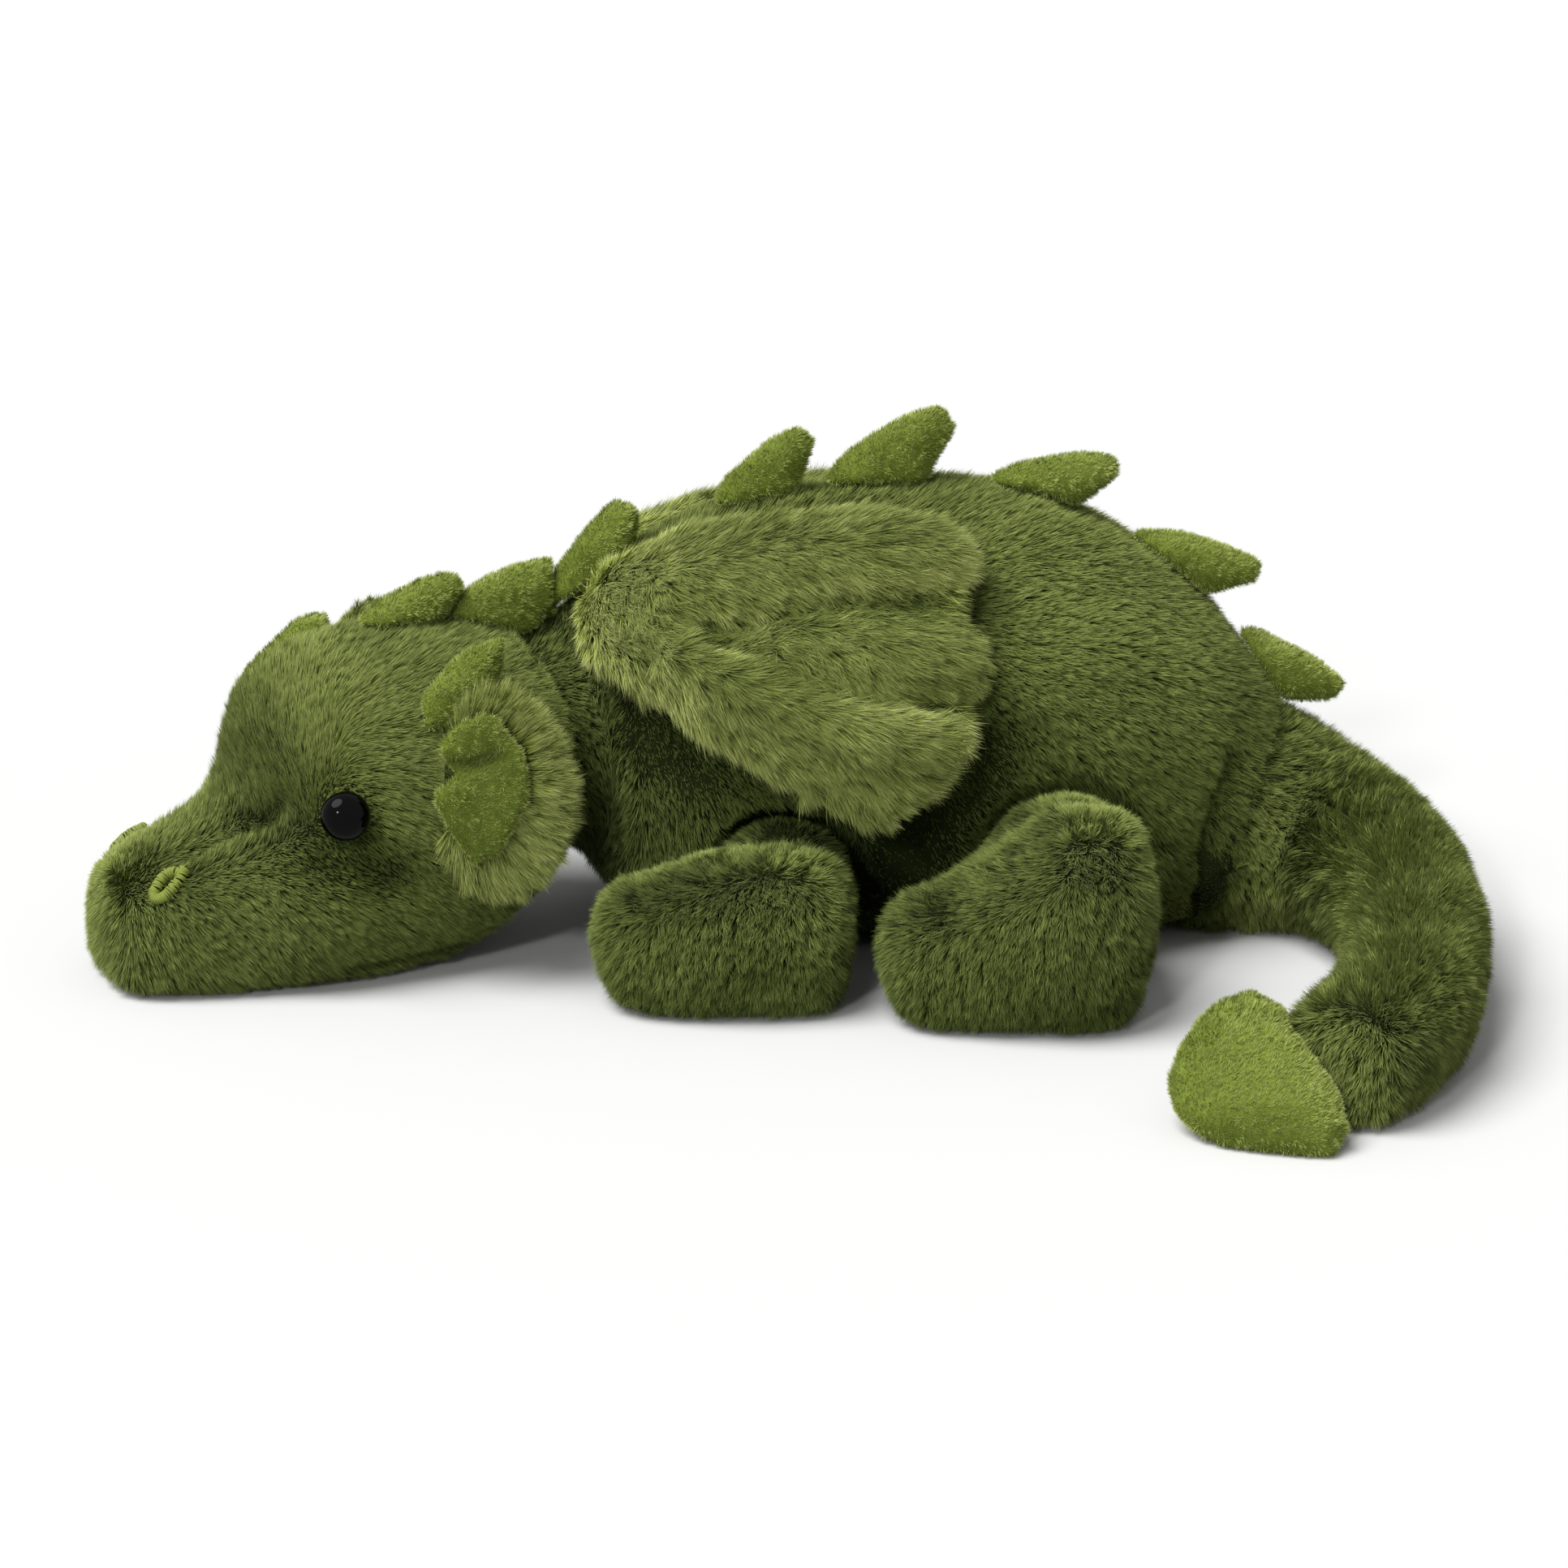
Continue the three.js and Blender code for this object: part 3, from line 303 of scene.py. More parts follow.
# Materials
def furMaterial(name, colours):
    # Woven pile of dyed polyester: matt, with a soft bloom against the light, dark at its
    # roots and paler at its tips; the dark roots are painted shade, for the shade deep in the
    # pile. The OFBake map runs from root to tip one way and from dark to pale the other way:
    # the dark and pale locks, and the painted light and shade that the tone functions add.
    material, tree = newMaterial(name)
    uv = addNode(tree, "ShaderNodeUVMap", {"uv_map": "OFBake"})
    split = addNode(tree, "ShaderNodeSeparateXYZ", {}, {"Vector": (uv, 0)})
    ramps = []
    for tone in ("dark", "pale"):
        ramp = addNode(tree, "ShaderNodeValToRGB", {}, {"Fac": (split, "X")})
        ramp.color_ramp.elements.new(0.5)
        for stop, colour in zip(ramp.color_ramp.elements, colours[tone]):
            stop.color = linear(colour)
        ramps.append(ramp)
    mix = addNode(tree, "ShaderNodeMix", {"data_type": "RGBA"},
                  {0: (split, "Y"), 6: (ramps[0], 0), 7: (ramps[1], 0)})
    shader = addNode(tree, "ShaderNodeBsdfPrincipled", {
        "Roughness": colours["roughness"], "Specular IOR Level": 0.25,
        "Sheen Weight": colours["sheen"], "Sheen Roughness": 0.5, "Sheen Tint": linear(colours["sheenTint"]),
    }, {"Base Color": (mix, 2)})
    addNode(tree, "ShaderNodeOutputMaterial", {}, {"Surface": (shader, 0)})
    return material


def backingMaterial(name, colours, grain):
    # Knitted backing under the pile: matt and mottled where the pile parts. Its real nap of
    # about 0.1 mm is drawn as coarse as the grain, so that it shows.
    material, tree = newMaterial(name)
    space = {"Vector": (addNode(tree, "ShaderNodeTexCoord"), "Object")}
    mottle = addNode(tree, "ShaderNodeTexNoise", {"Scale": 60.0, "Detail": 4.0}, space)  # patches of 17 mm
    ramp = addNode(tree, "ShaderNodeValToRGB", {}, {"Fac": (mottle, 0)})
    for stop, place, colour in zip(ramp.color_ramp.elements, (0.3, 0.7), colours):
        stop.position, stop.color = place, linear(colour)
    nap = addNode(tree, "ShaderNodeTexNoise", {"Scale": 1 / (grain * mm), "Detail": 2.0}, space)
    bump = addNode(tree, "ShaderNodeBump", {"Strength": 0.6, "Distance": 0.6 * mm}, {"Height": (nap, 0)})
    shader = addNode(tree, "ShaderNodeBsdfPrincipled", {"Roughness": 0.95, "Specular IOR Level": 0.1},
                     {"Base Color": (ramp, 0), "Normal": (bump, 0)})
    addNode(tree, "ShaderNodeOutputMaterial", {}, {"Surface": (shader, 0)})
    return material


# The pile and the cloth under it, by the slot that they fill
piles = {
    "fur": furMaterial("olivePolyesterPlush", {
        "dark": ["#27310f", "#505f25", "#7b8a43"],
        "pale": ["#4a581f", "#849242", "#bec976"],
        "roughness": 0.85, "sheen": 0.16, "sheenTint": "#d6deb0",
    }),
    "wing_fur": furMaterial("silkyOlivePlush", {
        "dark": ["#333e10", "#66742f", "#94a04c"],
        "pale": ["#6d7a2c", "#bbc75f", "#eaf0a2"],
        "roughness": 0.75, "sheen": 0.28, "sheenTint": "#dfe6bc",
    }),
    "lime_plush": furMaterial("limeShortPile", {
        "dark": ["#4f5f1c", "#7a8d32", "#9dae4c"],
        "pale": ["#8c9e42", "#c2ce6a", "#e4ec9a"],
        "roughness": 0.85, "sheen": 0.25, "sheenTint": "#e6efb4",
    }),
    # the belly panel's pile is painted shade: the lime short pile, coloured dark for the shade under the body
    "belly_plush": furMaterial("bellyPileInPaintedShade", {
        "dark": ["#1b220b", "#303a18", "#465024"],
        "pale": ["#2a3313", "#4a5427", "#656f3a"],
        "roughness": 0.9, "sheen": 0.2, "sheenTint": "#c9d2a0",
    }),
}
backings = {
    "fur": backingMaterial("oliveKnitBacking", ["#1a210b", "#2c3515"], 0.9),
    "wing_fur": backingMaterial("paleOliveKnitBacking", ["#262d12", "#3b4420"], 0.9),
    "lime_plush": backingMaterial("limeKnitBacking", ["#6a7a2c", "#8a9a40"], 0.7),
    # the belly panel's backing is painted shade as well
    "belly_plush": backingMaterial("bellyBackingInPaintedShade", ["#1a210c", "#2a3316"], 0.7),
    "filling": backingMaterial("polyesterFibreFill", ["#dedcd4", "#efeee9"], 2.5),
}


def plainGloss(name, colour, roughness, ior):
    # Moulded plastic or thread: one even colour, with gloss from the shader alone
    material, tree = newMaterial(name)
    shader = addNode(tree, "ShaderNodeBsdfPrincipled", {
        "Base Color": linear(colour), "Roughness": roughness, "IOR": ior,
    })
    addNode(tree, "ShaderNodeOutputMaterial", {}, {"Surface": (shader, 0)})
    return material


eyePlastic = plainGloss("polishedBlackAcrylic", "#030303", 0.04, 1.17)  # deep black with a crisp glint
washerPlastic = plainGloss("whitePolyethylene", "#dedcd2", 0.45, 1.5)  # milky and a little waxy
limeThread = plainGloss("limePolyesterThread", "#8e9b40", 0.5, 1.5)  # soft shine along each stitch


# The neck's middle and the turn of the head
neckPlace = np.array([-84, -8, 74]) * mm
headTurn = math.radians(24)
headAxis = np.array([-math.cos(headTurn), -math.sin(headTurn), 0])  # from the neck to the nose
headSide = np.array([math.sin(headTurn), -math.cos(headTurn), 0])  # towards the dragon's left


# Padded bases under the pile
def copyOfNodes(name, nodeNames):
    # the CAD solids of a stuffed form as one loose mesh, to be remeshed
    copies = [newObject(name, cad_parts[nodeName].data.copy()) for nodeName in nodeNames]
    pick(*copies)
    if len(copies) > 1:
        bpy.ops.object.join()
    piece = bpy.context.view_layer.objects.active
    piece.name = name
    piece.data.materials.clear()
    openMesh(piece)
    bpy.ops.mesh.remove_doubles(threshold=0.02 * mm)
    closeMesh()
    return piece


def keepLargest(piece):
    # drops the small shells that a remesh leaves inside
    openMesh(piece)
    bpy.ops.mesh.separate(type="LOOSE")
    closeMesh()
    shells = list(bpy.context.selected_objects)
    largest = max(shells, key=lambda shell: max(shell.dimensions))
    name = piece.name
    for shell in shells:
        if shell is not largest:
            bpy.data.objects.remove(shell)
    largest.name = name
    pick(largest)
    return largest


padRest = {"height": (2, 14), "share": 0.15, "floorGap": 0.4, "lumpSeed": 5}  # less inset near the floor


def paddedBase(name, nodeNames, body, slot, settings):
    # the stuffed form under its pile: a smooth closed pad a little inside the CAD skin
    piece = copyOfNodes(name, nodeNames)
    applyModifier(piece, "REMESH", mode="VOXEL", voxel_size=settings["voxel"] * mm)
    piece = keepLargest(piece)
    applyModifier(piece, "SMOOTH", factor=0.5, iterations=settings["smooth"])
    places, normals = placesOf(piece), normalsOf(piece)
    free = easedOver(places[:, 2], *padRest["height"])[:, None]
    places -= normals * settings["inset"] * mm * (padRest["share"] + (1 - padRest["share"]) * free)
    lumps = wavy(places, settings["lumpWave"] * mm, padRest["lumpSeed"])[:, None]
    places += normals * (lumps * settings["lump"] * mm)
    places[:, 2] = np.maximum(places[:, 2], padRest["floorGap"] * mm)
    setPlaces(piece, places)
    pick(piece)
    bpy.ops.object.shade_smooth()
    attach(piece, body)
    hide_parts(*nodeNames)
    piece.data.materials.append(backings[slot])
    return piece


def pressIn(piece, line, depth, width):
    # a seam or crease pulls the pad in along a line; a depth below 0 raises it
    places, normals = placesOf(piece), normalsOf(piece)
    setPlaces(piece, places - normals * (creaseShare(places, line, width) * depth * mm)[:, None])


def pressRuns(piece, lines, press):
    for run, (depth, width) in press.items():
        pressIn(piece, lines[run], depth, width)


def shadedRuns(lines, shade):
    return [(lines[run], width, strength) for run, (width, strength) in shade.items()]


# The pile itself: real mesh, one slim blade a hair
blade = {"floorGap": 0.5, "mapEdge": 0.02, "mapWidth": 0.006, "most": 195000}  # most hairs in a piece


def strandMesh(name, roots, tips, sides, widths, tones):
    # every hair is one long flat triangle, with the map for its tone
    count = len(roots)
    half = sides * widths[:, None] / 2
    corners = np.stack([roots - half, roots + half, tips], axis=1).reshape(-1, 3)
    corners[:, 2] = np.maximum(corners[:, 2], blade["floorGap"] * mm)
    mesh = bpy.data.meshes.new(name)
    mesh.vertices.add(count * 3)
    mesh.vertices.foreach_set("co", corners.astype(np.float32).ravel())
    mesh.loops.add(count * 3)
    mesh.loops.foreach_set("vertex_index", np.arange(count * 3, dtype=np.int32))
    mesh.polygons.add(count)
    mesh.polygons.foreach_set("loop_start", np.arange(0, count * 3, 3, dtype=np.int32))
    mesh.update(calc_edges=True)
    low, high = blade["mapEdge"], 1 - blade["mapEdge"]
    layer = mesh.uv_layers.new(name="OFBake")
    uv = np.empty((count, 3, 2), np.float32)
    uv[:, :, 0] = [low, low, high]
    uv[:, :, 1] = np.clip(tones, low, high)[:, None] + np.array([-1, 1, 0]) * blade["mapWidth"]
    layer.data.foreach_set("uv", uv.ravel())
    mesh.polygons.foreach_set("use_smooth", np.zeros(count, bool))
    return newObject(name, mesh)


# What all pile shares. A lock is a bunch of hairs that lean together; a parting is where
# the combing starts and the hairs stand apart.
pile = {
    "restHeight": 3.5, "restSlope": -0.6,  # none grows where the pad rests on the floor
    "parting": (0.5, 0.95), "partingMore": 0.3, "partingShorter": 0.3, "partingPaler": 0.45,
    "seamThinner": 0.6, "seamThinnerMost": 1.4,
    # how much darker the pile is painted along seams, creases and painted shadows: painted shade
    "seamShorter": 0.55, "seamShorterMost": 1.3, "seamPaintedShade": 0.45,
    "shortest": 0.75, "lengthSpread": 0.4, "lockShortest": 0.8, "lockLengthSpread": 0.4,  # of the length
    "strayHair": 0.5,  # of a lock's own stray
    "liftSpread": 9, "lockLiftSpread": 8, "droopSpread": 7,
    "gatherHalfway": 0.35, "gatherRest": 0.65,  # of the way to the lock's middle
    "twist": 0.9,  # radians
    "tone": 0.42, "patchTone": 0.18, "patchWave": 38, "lockTone": 0.34, "hairTone": 0.23,
    "thinnest": 0.75, "widthSpread": 0.5,  # of the width
    "sunk": 0.6,  # how deep a root starts in the pad
}


def partingShare(comb, normals):
    # 1 where the combing runs straight into the surface, so that a parting starts there
    return eased(-(unit(comb) * normals).sum(axis=1), *pile["parting"])


def evenly(places, normals):
    return 1.0


def growFur(name, base, body, slot, settings, flow, toneAt,
            cover=None, seamsAndShadows=(), lengthAt=evenly, densityAt=evenly):
    # pile over a padded base, combed by flow and gathered in locks
    chance = np.random.default_rng(settings["seed"])
    mesh = base.data
    mesh.calc_loop_triangles()
    corners = np.empty(len(mesh.loop_triangles) * 3, np.int32)
    mesh.loop_triangles.foreach_get("vertices", corners)
    corners = corners.reshape(-1, 3)
    places, normals = placesOf(base), normalsOf(base)
    a, b, c = (places[corners[:, corner]] for corner in range(3))
    middles = (a + b + c) / 3
    faceNormals = unit(np.cross(b - a, c - a))
    areas = np.linalg.norm(np.cross(b - a, c - a), axis=1) / 2 / mm ** 2

    # how thickly it grows on every triangle: none inside a covering form
    weights = np.ones(len(areas))
    if cover:
        tree, depth = cover
        weights[[isInside(tree, Vector(middle), depth * mm) for middle in middles]] = 0
    resting = (middles[:, 2] < pile["restHeight"] * mm) & (faceNormals[:, 2] < pile["restSlope"])
    weights[resting] = 0
    weights *= 1 + pile["partingMore"] * partingShare(flow(middles, faceNormals), faceNormals)
    for line, width, strength in seamsAndShadows:
        thinner = pile["seamThinner"] * min(pile["seamThinnerMost"], strength)
        weights *= 1 - thinner * creaseShare(middles, line, width)
    weights *= densityAt(middles, faceNormals)
    amounts = areas * weights * settings["density"]
    count = int(amounts.sum())
    chosen = chance.choice(len(areas), size=count, p=amounts / amounts.sum())
    share = chance.random((count, 2))
    folded = share.sum(axis=1) > 1
    share[folded] = 1 - share[folded]
    u, v = share[:, :1], share[:, 1:]
    tri = corners[chosen]
    roots = places[tri[:, 0]] * (1 - u - v) + places[tri[:, 1]] * u + places[tri[:, 2]] * v
    normal = unit(normals[tri[:, 0]] * (1 - u - v) + normals[tri[:, 1]] * u + normals[tri[:, 2]] * v)

    # which way every hair is combed, and how seams and partings change it
    lockMiddles, lockShares = clumpsOf(roots, settings["clump"] * mm, settings["seed"])
    comb = flow(roots, normal)
    parting = partingShare(comb, normal)
    comb = comb + settings["stray"] * (lockShares[:, :3] - 0.5) * 2
    comb = comb + settings["stray"] * pile["strayHair"] * chance.normal(size=(count, 3))
    comb = unit(comb - normal * (comb * normal).sum(axis=1, keepdims=True))
    shades = [strength * creaseShare(roots, line, width) for line, width, strength in seamsAndShadows]
    seamShade = np.max([np.zeros(count), *shades], axis=0)

    # its length, its lean in two steps, its width and its tone
    length = settings["length"] * mm * (pile["shortest"] + pile["lengthSpread"] * chance.random(count))
    length *= pile["lockShortest"] + pile["lockLengthSpread"] * lockShares[:, 3]
    length *= lengthAt(roots, normal)
    length *= 1 - pile["seamShorter"] * np.minimum(seamShade, pile["seamShorterMost"])
    length *= 1 - pile["partingShorter"] * parting
    half = (length / 2)[:, None]
    lift = settings["lift"] + pile["liftSpread"] * chance.normal(size=count)
    lift = np.radians(lift + pile["lockLiftSpread"] * (lockShares[:, 0] - 0.5))[:, None]
    droop = np.radians(settings["droop"] + pile["droopSpread"] * chance.normal(size=count))[:, None]
    pull = lockMiddles - roots
    pull = (pull - normal * (pull * normal).sum(axis=1, keepdims=True)) * settings["gather"]
    halfway = roots + half * (comb * np.cos(lift) + normal * np.sin(lift)) + pull * pile["gatherHalfway"]
    tips = halfway + half * (comb * np.cos(droop) + normal * np.sin(droop)) + pull * pile["gatherRest"]
    twist = chance.uniform(-pile["twist"], pile["twist"], count)[:, None]
    across = unit(np.cross(normal, comb)) * np.cos(twist) + normal * np.sin(twist)
    patches = pile["patchTone"] * wavy(roots, pile["patchWave"] * mm, settings["seed"] + 3)
    locks = pile["lockTone"] * (lockShares[:, 1] - 0.5)
    tones = pile["tone"] + settings.get("patchy", 1.0) * (patches + locks)
    tones += pile["hairTone"] * chance.normal(size=count)
    # painted shade along seams, creases and shadows, and painted light and shade from toneAt
    tones += pile["partingPaler"] * parting - pile["seamPaintedShade"] * seamShade + toneAt(roots, normal)
    widths = settings["width"] * mm * (pile["thinnest"] + pile["widthSpread"] * chance.random(count))
    roots = roots - normal * pile["sunk"] * mm

    parts = max(1, math.ceil(count / blade["most"]))
    for part, hairs in enumerate(np.array_split(np.argsort(roots[:, 0]), parts)):
        title = name if parts == 1 else f"{name}_{part + 1}"
        piece = strandMesh(title, roots[hairs], tips[hairs], across[hairs], widths[hairs], tones[hairs])
        piece.data.materials.append(piles[slot])
        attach(piece, body)
    print(f"stage: {name}, {count} strands")


def waver(places, wavelength, seed, amount):
    # uneven combing: a smooth random push at every place
    return amount * np.stack([wavy(places, wavelength * mm, seed + turn) for turn in range(3)], axis=1)


def sideways(normals):
    # 0 on top of a form, 1 on its sides
    return np.clip(1 - normals[:, 2:3], 0, 1)


def combedBy(comb):
    # one way all over, another down the sides, out from the surface, and unevenly by
    # (wavelength, seed, amount)
    def flow(places, normals):
        way = np.array(comb["way"]) + np.array(comb.get("sides", 0)) * sideways(normals)
        return way + np.array(comb.get("out", 0)) * normals + waver(places, *comb["waver"])
    return flow


def paintedLightFromAbove(places, tone):
    # painted light and shade: paler towards the top of a form and darker low down, as the light falls from above
    return tone["depth"] * (easedOver(places[:, 2], *tone["height"]) - 0.5) + tone["shift"]


# Body. Its runs are seams and creases in pixels of the picture; a press is (depth, width)
# and a shade is (width, strength): there the pile is shorter and thinner, so the dark backing
# shows, and painted darker: painted shade in the seams, painted shadow under the wing and
# between the legs.
torso = {
    "pad": {"voxel": 4, "inset": 4, "smooth": 8, "lump": 1.0, "lumpWave": 60},
    "fur": {"seed": 11, "density": 2.95, "length": 5.8, "width": 0.5, "lift": 44, "droop": 34,
            "clump": 2.8, "gather": 0.22, "stray": 0.32},
    "comb": {"way": (1, 0, 0), "sides": (0, 0, -0.8), "waver": (60, 21, 0.25)},
    "runs": {
        "tailSeam": [(1600, 872), (1562, 894), (1516, 935), (1494, 989), (1480, 1044), (1484, 1100)],
        "tailJoin": [(1596, 900), (1570, 940), (1556, 990), (1550, 1040)],
        "legGap": [(1115, 1010), (1105, 1060), (1090, 1110), (1080, 1150)],
        "underWing": [(775, 900), (850, 955), (950, 1005), (1060, 1040), (1150, 1035), (1200, 985),
                      (1225, 920)],
        "hipSeam": [(1190, 990), (1204, 978), (1243, 953), (1282, 945), (1325, 951), (1364, 973),
                    (1393, 1002), (1417, 1041)],
    },
    "press": {"tailSeam": (6, 5), "tailJoin": (-5, 9), "legGap": (4, 12), "farLegGap": (4, 12),
              "hipSeam": (2.4, 5), "farHipSeam": (2.4, 5)},
    "shade": {"tailSeam": (4.2, 1.3), "legGap": (20, 1.6), "underWing": (13, 1.1), "hipSeam": (2.6, 0.9),
              "farHipSeam": (2.6, 0.9)},
    # painted light and shade: paler high up and darker low down
    "tone": {"height": (30, 165), "depth": 0.9, "shift": -0.08},
    "underHead": 14,  # no pile deeper than this inside the head
    "underTorso": 6,  # nor on legs and tail deeper than this inside the body
    # paler is painted light on the low rump, which lies in the tail's shade; shorter is its shorter pile
    "rear": {"along": (112, 132), "height": (22, 30), "paler": 0.7, "shorter": 0.6},  # low on the rump
}
torsoPad = paddedBase("bodyPad", ["body_skin", "body_stuffing"], "body", "fur", torso["pad"])
bareTree = treeOf(torsoPad)
torsoLines = {run: seamLine(bareTree, spots) for run, spots in torso["runs"].items()}
torsoLines["farHipSeam"] = torsoLines["hipSeam"] * [1, -1, 1]
torsoLines["farLegGap"] = torsoLines["legGap"] * [1, -1, 1]
pressRuns(torsoPad, torsoLines, torso["press"])
torsoSeamShadows = shadedRuns(torsoLines, torso["shade"])


def lowRear(places):
    # the short pile low on the rump, between the hind legs and the tail
    behind = easedOver(places[:, 0], *torso["rear"]["along"])
    return behind * (1 - easedOver(places[:, 2], *torso["rear"]["height"]))


def torsoTone(places, normals):
    # painted light and shade from above, and painted light on the low rump
    return paintedLightFromAbove(places, torso["tone"]) + torso["rear"]["paler"] * lowRear(places)


def torsoLength(places, normals):
    return 1 - torso["rear"]["shorter"] * lowRear(places)


# Head: runs, presses and shades as for the body, and each on both sides of the head
head = {
    "pad": {"voxel": 3.5, "inset": 4, "smooth": 6, "lump": 0.6, "lumpWave": 40},
    "fur": {"seed": 12, "density": 4.4, "length": 5.8, "width": 0.45, "lift": 40, "droop": 32,
            "clump": 2.6, "gather": 0.22, "stray": 0.2},
    "runs": {
        "dart": [(224, 1058), (253, 1041), (285, 1027), (327, 1017), (347, 1000)],
        "jaw": [(418, 1190), (483, 1179), (557, 1160), (607, 1142)],
        "cheek": [(395, 1068), (430, 1072), (470, 1080)],
    },
    "press": {"dart": (5.5, 4), "jaw": (1.2, 4), "cheek": (5, 11)},
    # painted shade in the dart, along the jaw seam and in the cheek's hollow
    "shade": {"dart": (3.4, 1.3), "jaw": (2.6, 0.9), "cheek": (12, 1.1)},
    "aside": 24,  # the middle and both sides of the forehead and the brow
    "forehead": {"along": 124, "height": 88, "reach": (20, 20, 17), "forward": 3.5, "up": 1},
    "brow": {"along": 146, "height": 66, "reach": (11, 14, 11), "dip": 2},
    "comb": {"middle": 16, "nose": (140, 178), "spread": 0.25, "noseSpread": 0.9, "sides": (0, 0, -0.3),
             "brow": (52, 72), "facing": (0.05, 0.5), "browShare": 0.8, "waver": (40, 31, 0.2)},
    # painted light and shade for the head's pile
    "tone": {"height": (8, 110), "depth": 0.24, "shift": 0.1, "brow": (58, 74), "facing": (0.1, 0.5),
             "browPaintedLight": 0.75, "rear": (40, 75), "neckPaintedShade": 0.2},
}
headPad = paddedBase("headPad", ["head_skin", "head_stuffing"], "head", "fur", head["pad"])


def headLocal(places):
    # along the head, out to its left, and up, in metres from the neck's middle
    away = places - neckPlace
    return np.stack([away @ headAxis, away @ headSide, away[:, 2]], axis=1)


def headPlace(along, side, height):
    # a place given along the head, out to its left and above the floor
    onFloor = neckPlace * [1, 1, 0] + headAxis * along * mm + headSide * side * mm
    return onFloor + np.array([0, 0, height * mm])


def acrossHead(line):
    # the same run on the other side of the head's middle plane
    away = (line - neckPlace) @ headSide
    return line - 2 * away[:, None] * headSide


def swell(piece, middle, reach, push):
    # moves the surface near a place by a push that fades out
    places = placesOf(piece)
    away = lengthOf((places - middle) / (np.array(reach) * mm))[:, 0]
    share = np.exp(-away ** 2)
    setPlaces(piece, places + share[:, None] * np.array(push) * mm)


bareTree = treeOf(headPad)
headLines = {}
for run, spots in head["runs"].items():
    line = seamLine(bareTree, spots)
    headLines[run] = np.concatenate([line, acrossHead(line)])
forehead, brow = head["forehead"], head["brow"]
for aside in (-head["aside"], 0, head["aside"]):
    swell(headPad, headPlace(forehead["along"], aside, forehead["height"]), forehead["reach"],
          headAxis * forehead["forward"] + np.array([0, 0, forehead["up"]]))
    swell(headPad, headPlace(brow["along"], aside, brow["height"]), brow["reach"], (0, 0, -brow["dip"]))
pressRuns(headPad, headLines, head["press"])
headSeamShadows = shadedRuns(headLines, head["shade"])


def headFlow(places, normals):
    # back from the nose, out from the middle line round the nose, and up over the brow
    comb, local = head["comb"], headLocal(places)
    radial = headSide * local[:, 1:2] + np.array([0, 0, 1]) * (local[:, 2:3] - comb["middle"] * mm)
    nose = easedOver(local[:, 0], *comb["nose"])[:, None]
    way = -headAxis * np.ones((len(places), 1)) + np.array(comb["sides"]) * sideways(normals)
    way = way + unit(radial) * (comb["spread"] + comb["noseSpread"] * nose)
    up = (eased(normals @ headAxis, *comb["facing"]) * easedOver(places[:, 2], *comb["brow"]))[:, None]
    return way * (1 - comb["browShare"] * up) + np.array([0, 0, 1]) * up + waver(places, *comb["waver"])


def headTone(places, normals):
    # painted light from above, painted light over the forehead, where the pile stands towards the light, and
    # painted shade at the rear towards the neck
    tone = head["tone"]
    over = eased(normals @ headAxis, *tone["facing"]) * easedOver(places[:, 2], *tone["brow"])
    rear = 1 - easedOver(headLocal(places)[:, 0], *tone["rear"])
    return paintedLightFromAbove(places, tone) + tone["browPaintedLight"] * over - tone["neckPaintedShade"] * rear


def finishSmall(piece, angle, material, node):
    # a small hard piece on the head: smooth but for its sharp edges
    pick(piece)
    bpy.ops.object.shade_smooth_by_angle(angle=math.radians(angle))
    piece.data.materials.append(material)
    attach(piece, "head")
    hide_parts(node)


# Eyes: black domes moulded with a post, pressed a little into the pad
eye = {
    "radius": 9, "height": 7.2, "postRadius": 2.4, "postLength": 8, "rimBevel": 0.5,
    "clear": 9.4, "short": (9.4, 22), "shortest": 0.35,  # no pile near it and short pile round it
    "press": (1.6, 12),
    "left": {"middle": (-155.94, -104.62, 71), "outward": (0.19, -0.96, 0.2)},
    "right": {"middle": (-203.94, 3.19, 71), "outward": (-0.59, 0.78, 0.2)},
}
eyePlaces = np.array([eye[side]["middle"] for side in ("left", "right")]) * mm


def makeEye(side):
    bpy.ops.mesh.primitive_uv_sphere_add(segments=64, ring_count=32, radius=eye["radius"] * mm)
    piece = bpy.context.object
    piece.name = f"{side}EyeDome"
    openMesh(piece)
    bpy.ops.mesh.bisect(plane_co=(0, 0, 0), plane_no=(0, 0, 1), clear_inner=True, use_fill=True)
    bpy.ops.mesh.inset(thickness=(eye["radius"] - eye["postRadius"]) * mm)
    bpy.ops.mesh.extrude_region_move(TRANSFORM_OT_translate={"value": (0, 0, -eye["postLength"] * mm)})
    closeMesh()
    places = placesOf(piece)
    places[places[:, 2] > 0, 2] *= eye["height"] / eye["radius"]  # a little flatter than half a ball
    setPlaces(piece, places)
    applyModifier(piece, "BEVEL", width=eye["rimBevel"] * mm, segments=3, limit_method="ANGLE")
    turn = Vector(eye[side]["outward"]).to_track_quat("Z", "Y").to_matrix().to_4x4()
    turn.translation = Vector(eye[side]["middle"]) * mm
    piece.data.transform(turn)
    finishSmall(piece, 35, eyePlastic, f"{side}_eye")


for side, place in zip(("left", "right"), eyePlaces):
    makeEye(side)
    pressIn(headPad, place[None, :], *eye["press"])
    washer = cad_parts[f"{side}_eye_washer"].data
    washer.materials.clear()
    washer.materials.append(washerPlastic)

# Nostrils: a teardrop ring of satin stitches, each a raised loop of thread over the ring
nostril = {
    "length": 18.5, "width": 7.6, "lean": 26, "taper": 0.45, "stitches": 56,
    "rise": 3.4, "proud": 2.4,  # above the CAD ring's middle, and out from the pad
    # shade: painted shade, darker and shorter pile in the nostril's hollow middle
    "loop": 1.8, "thread": 0.42, "cut": -0.2, "shade": (3.0, 1.3),
}


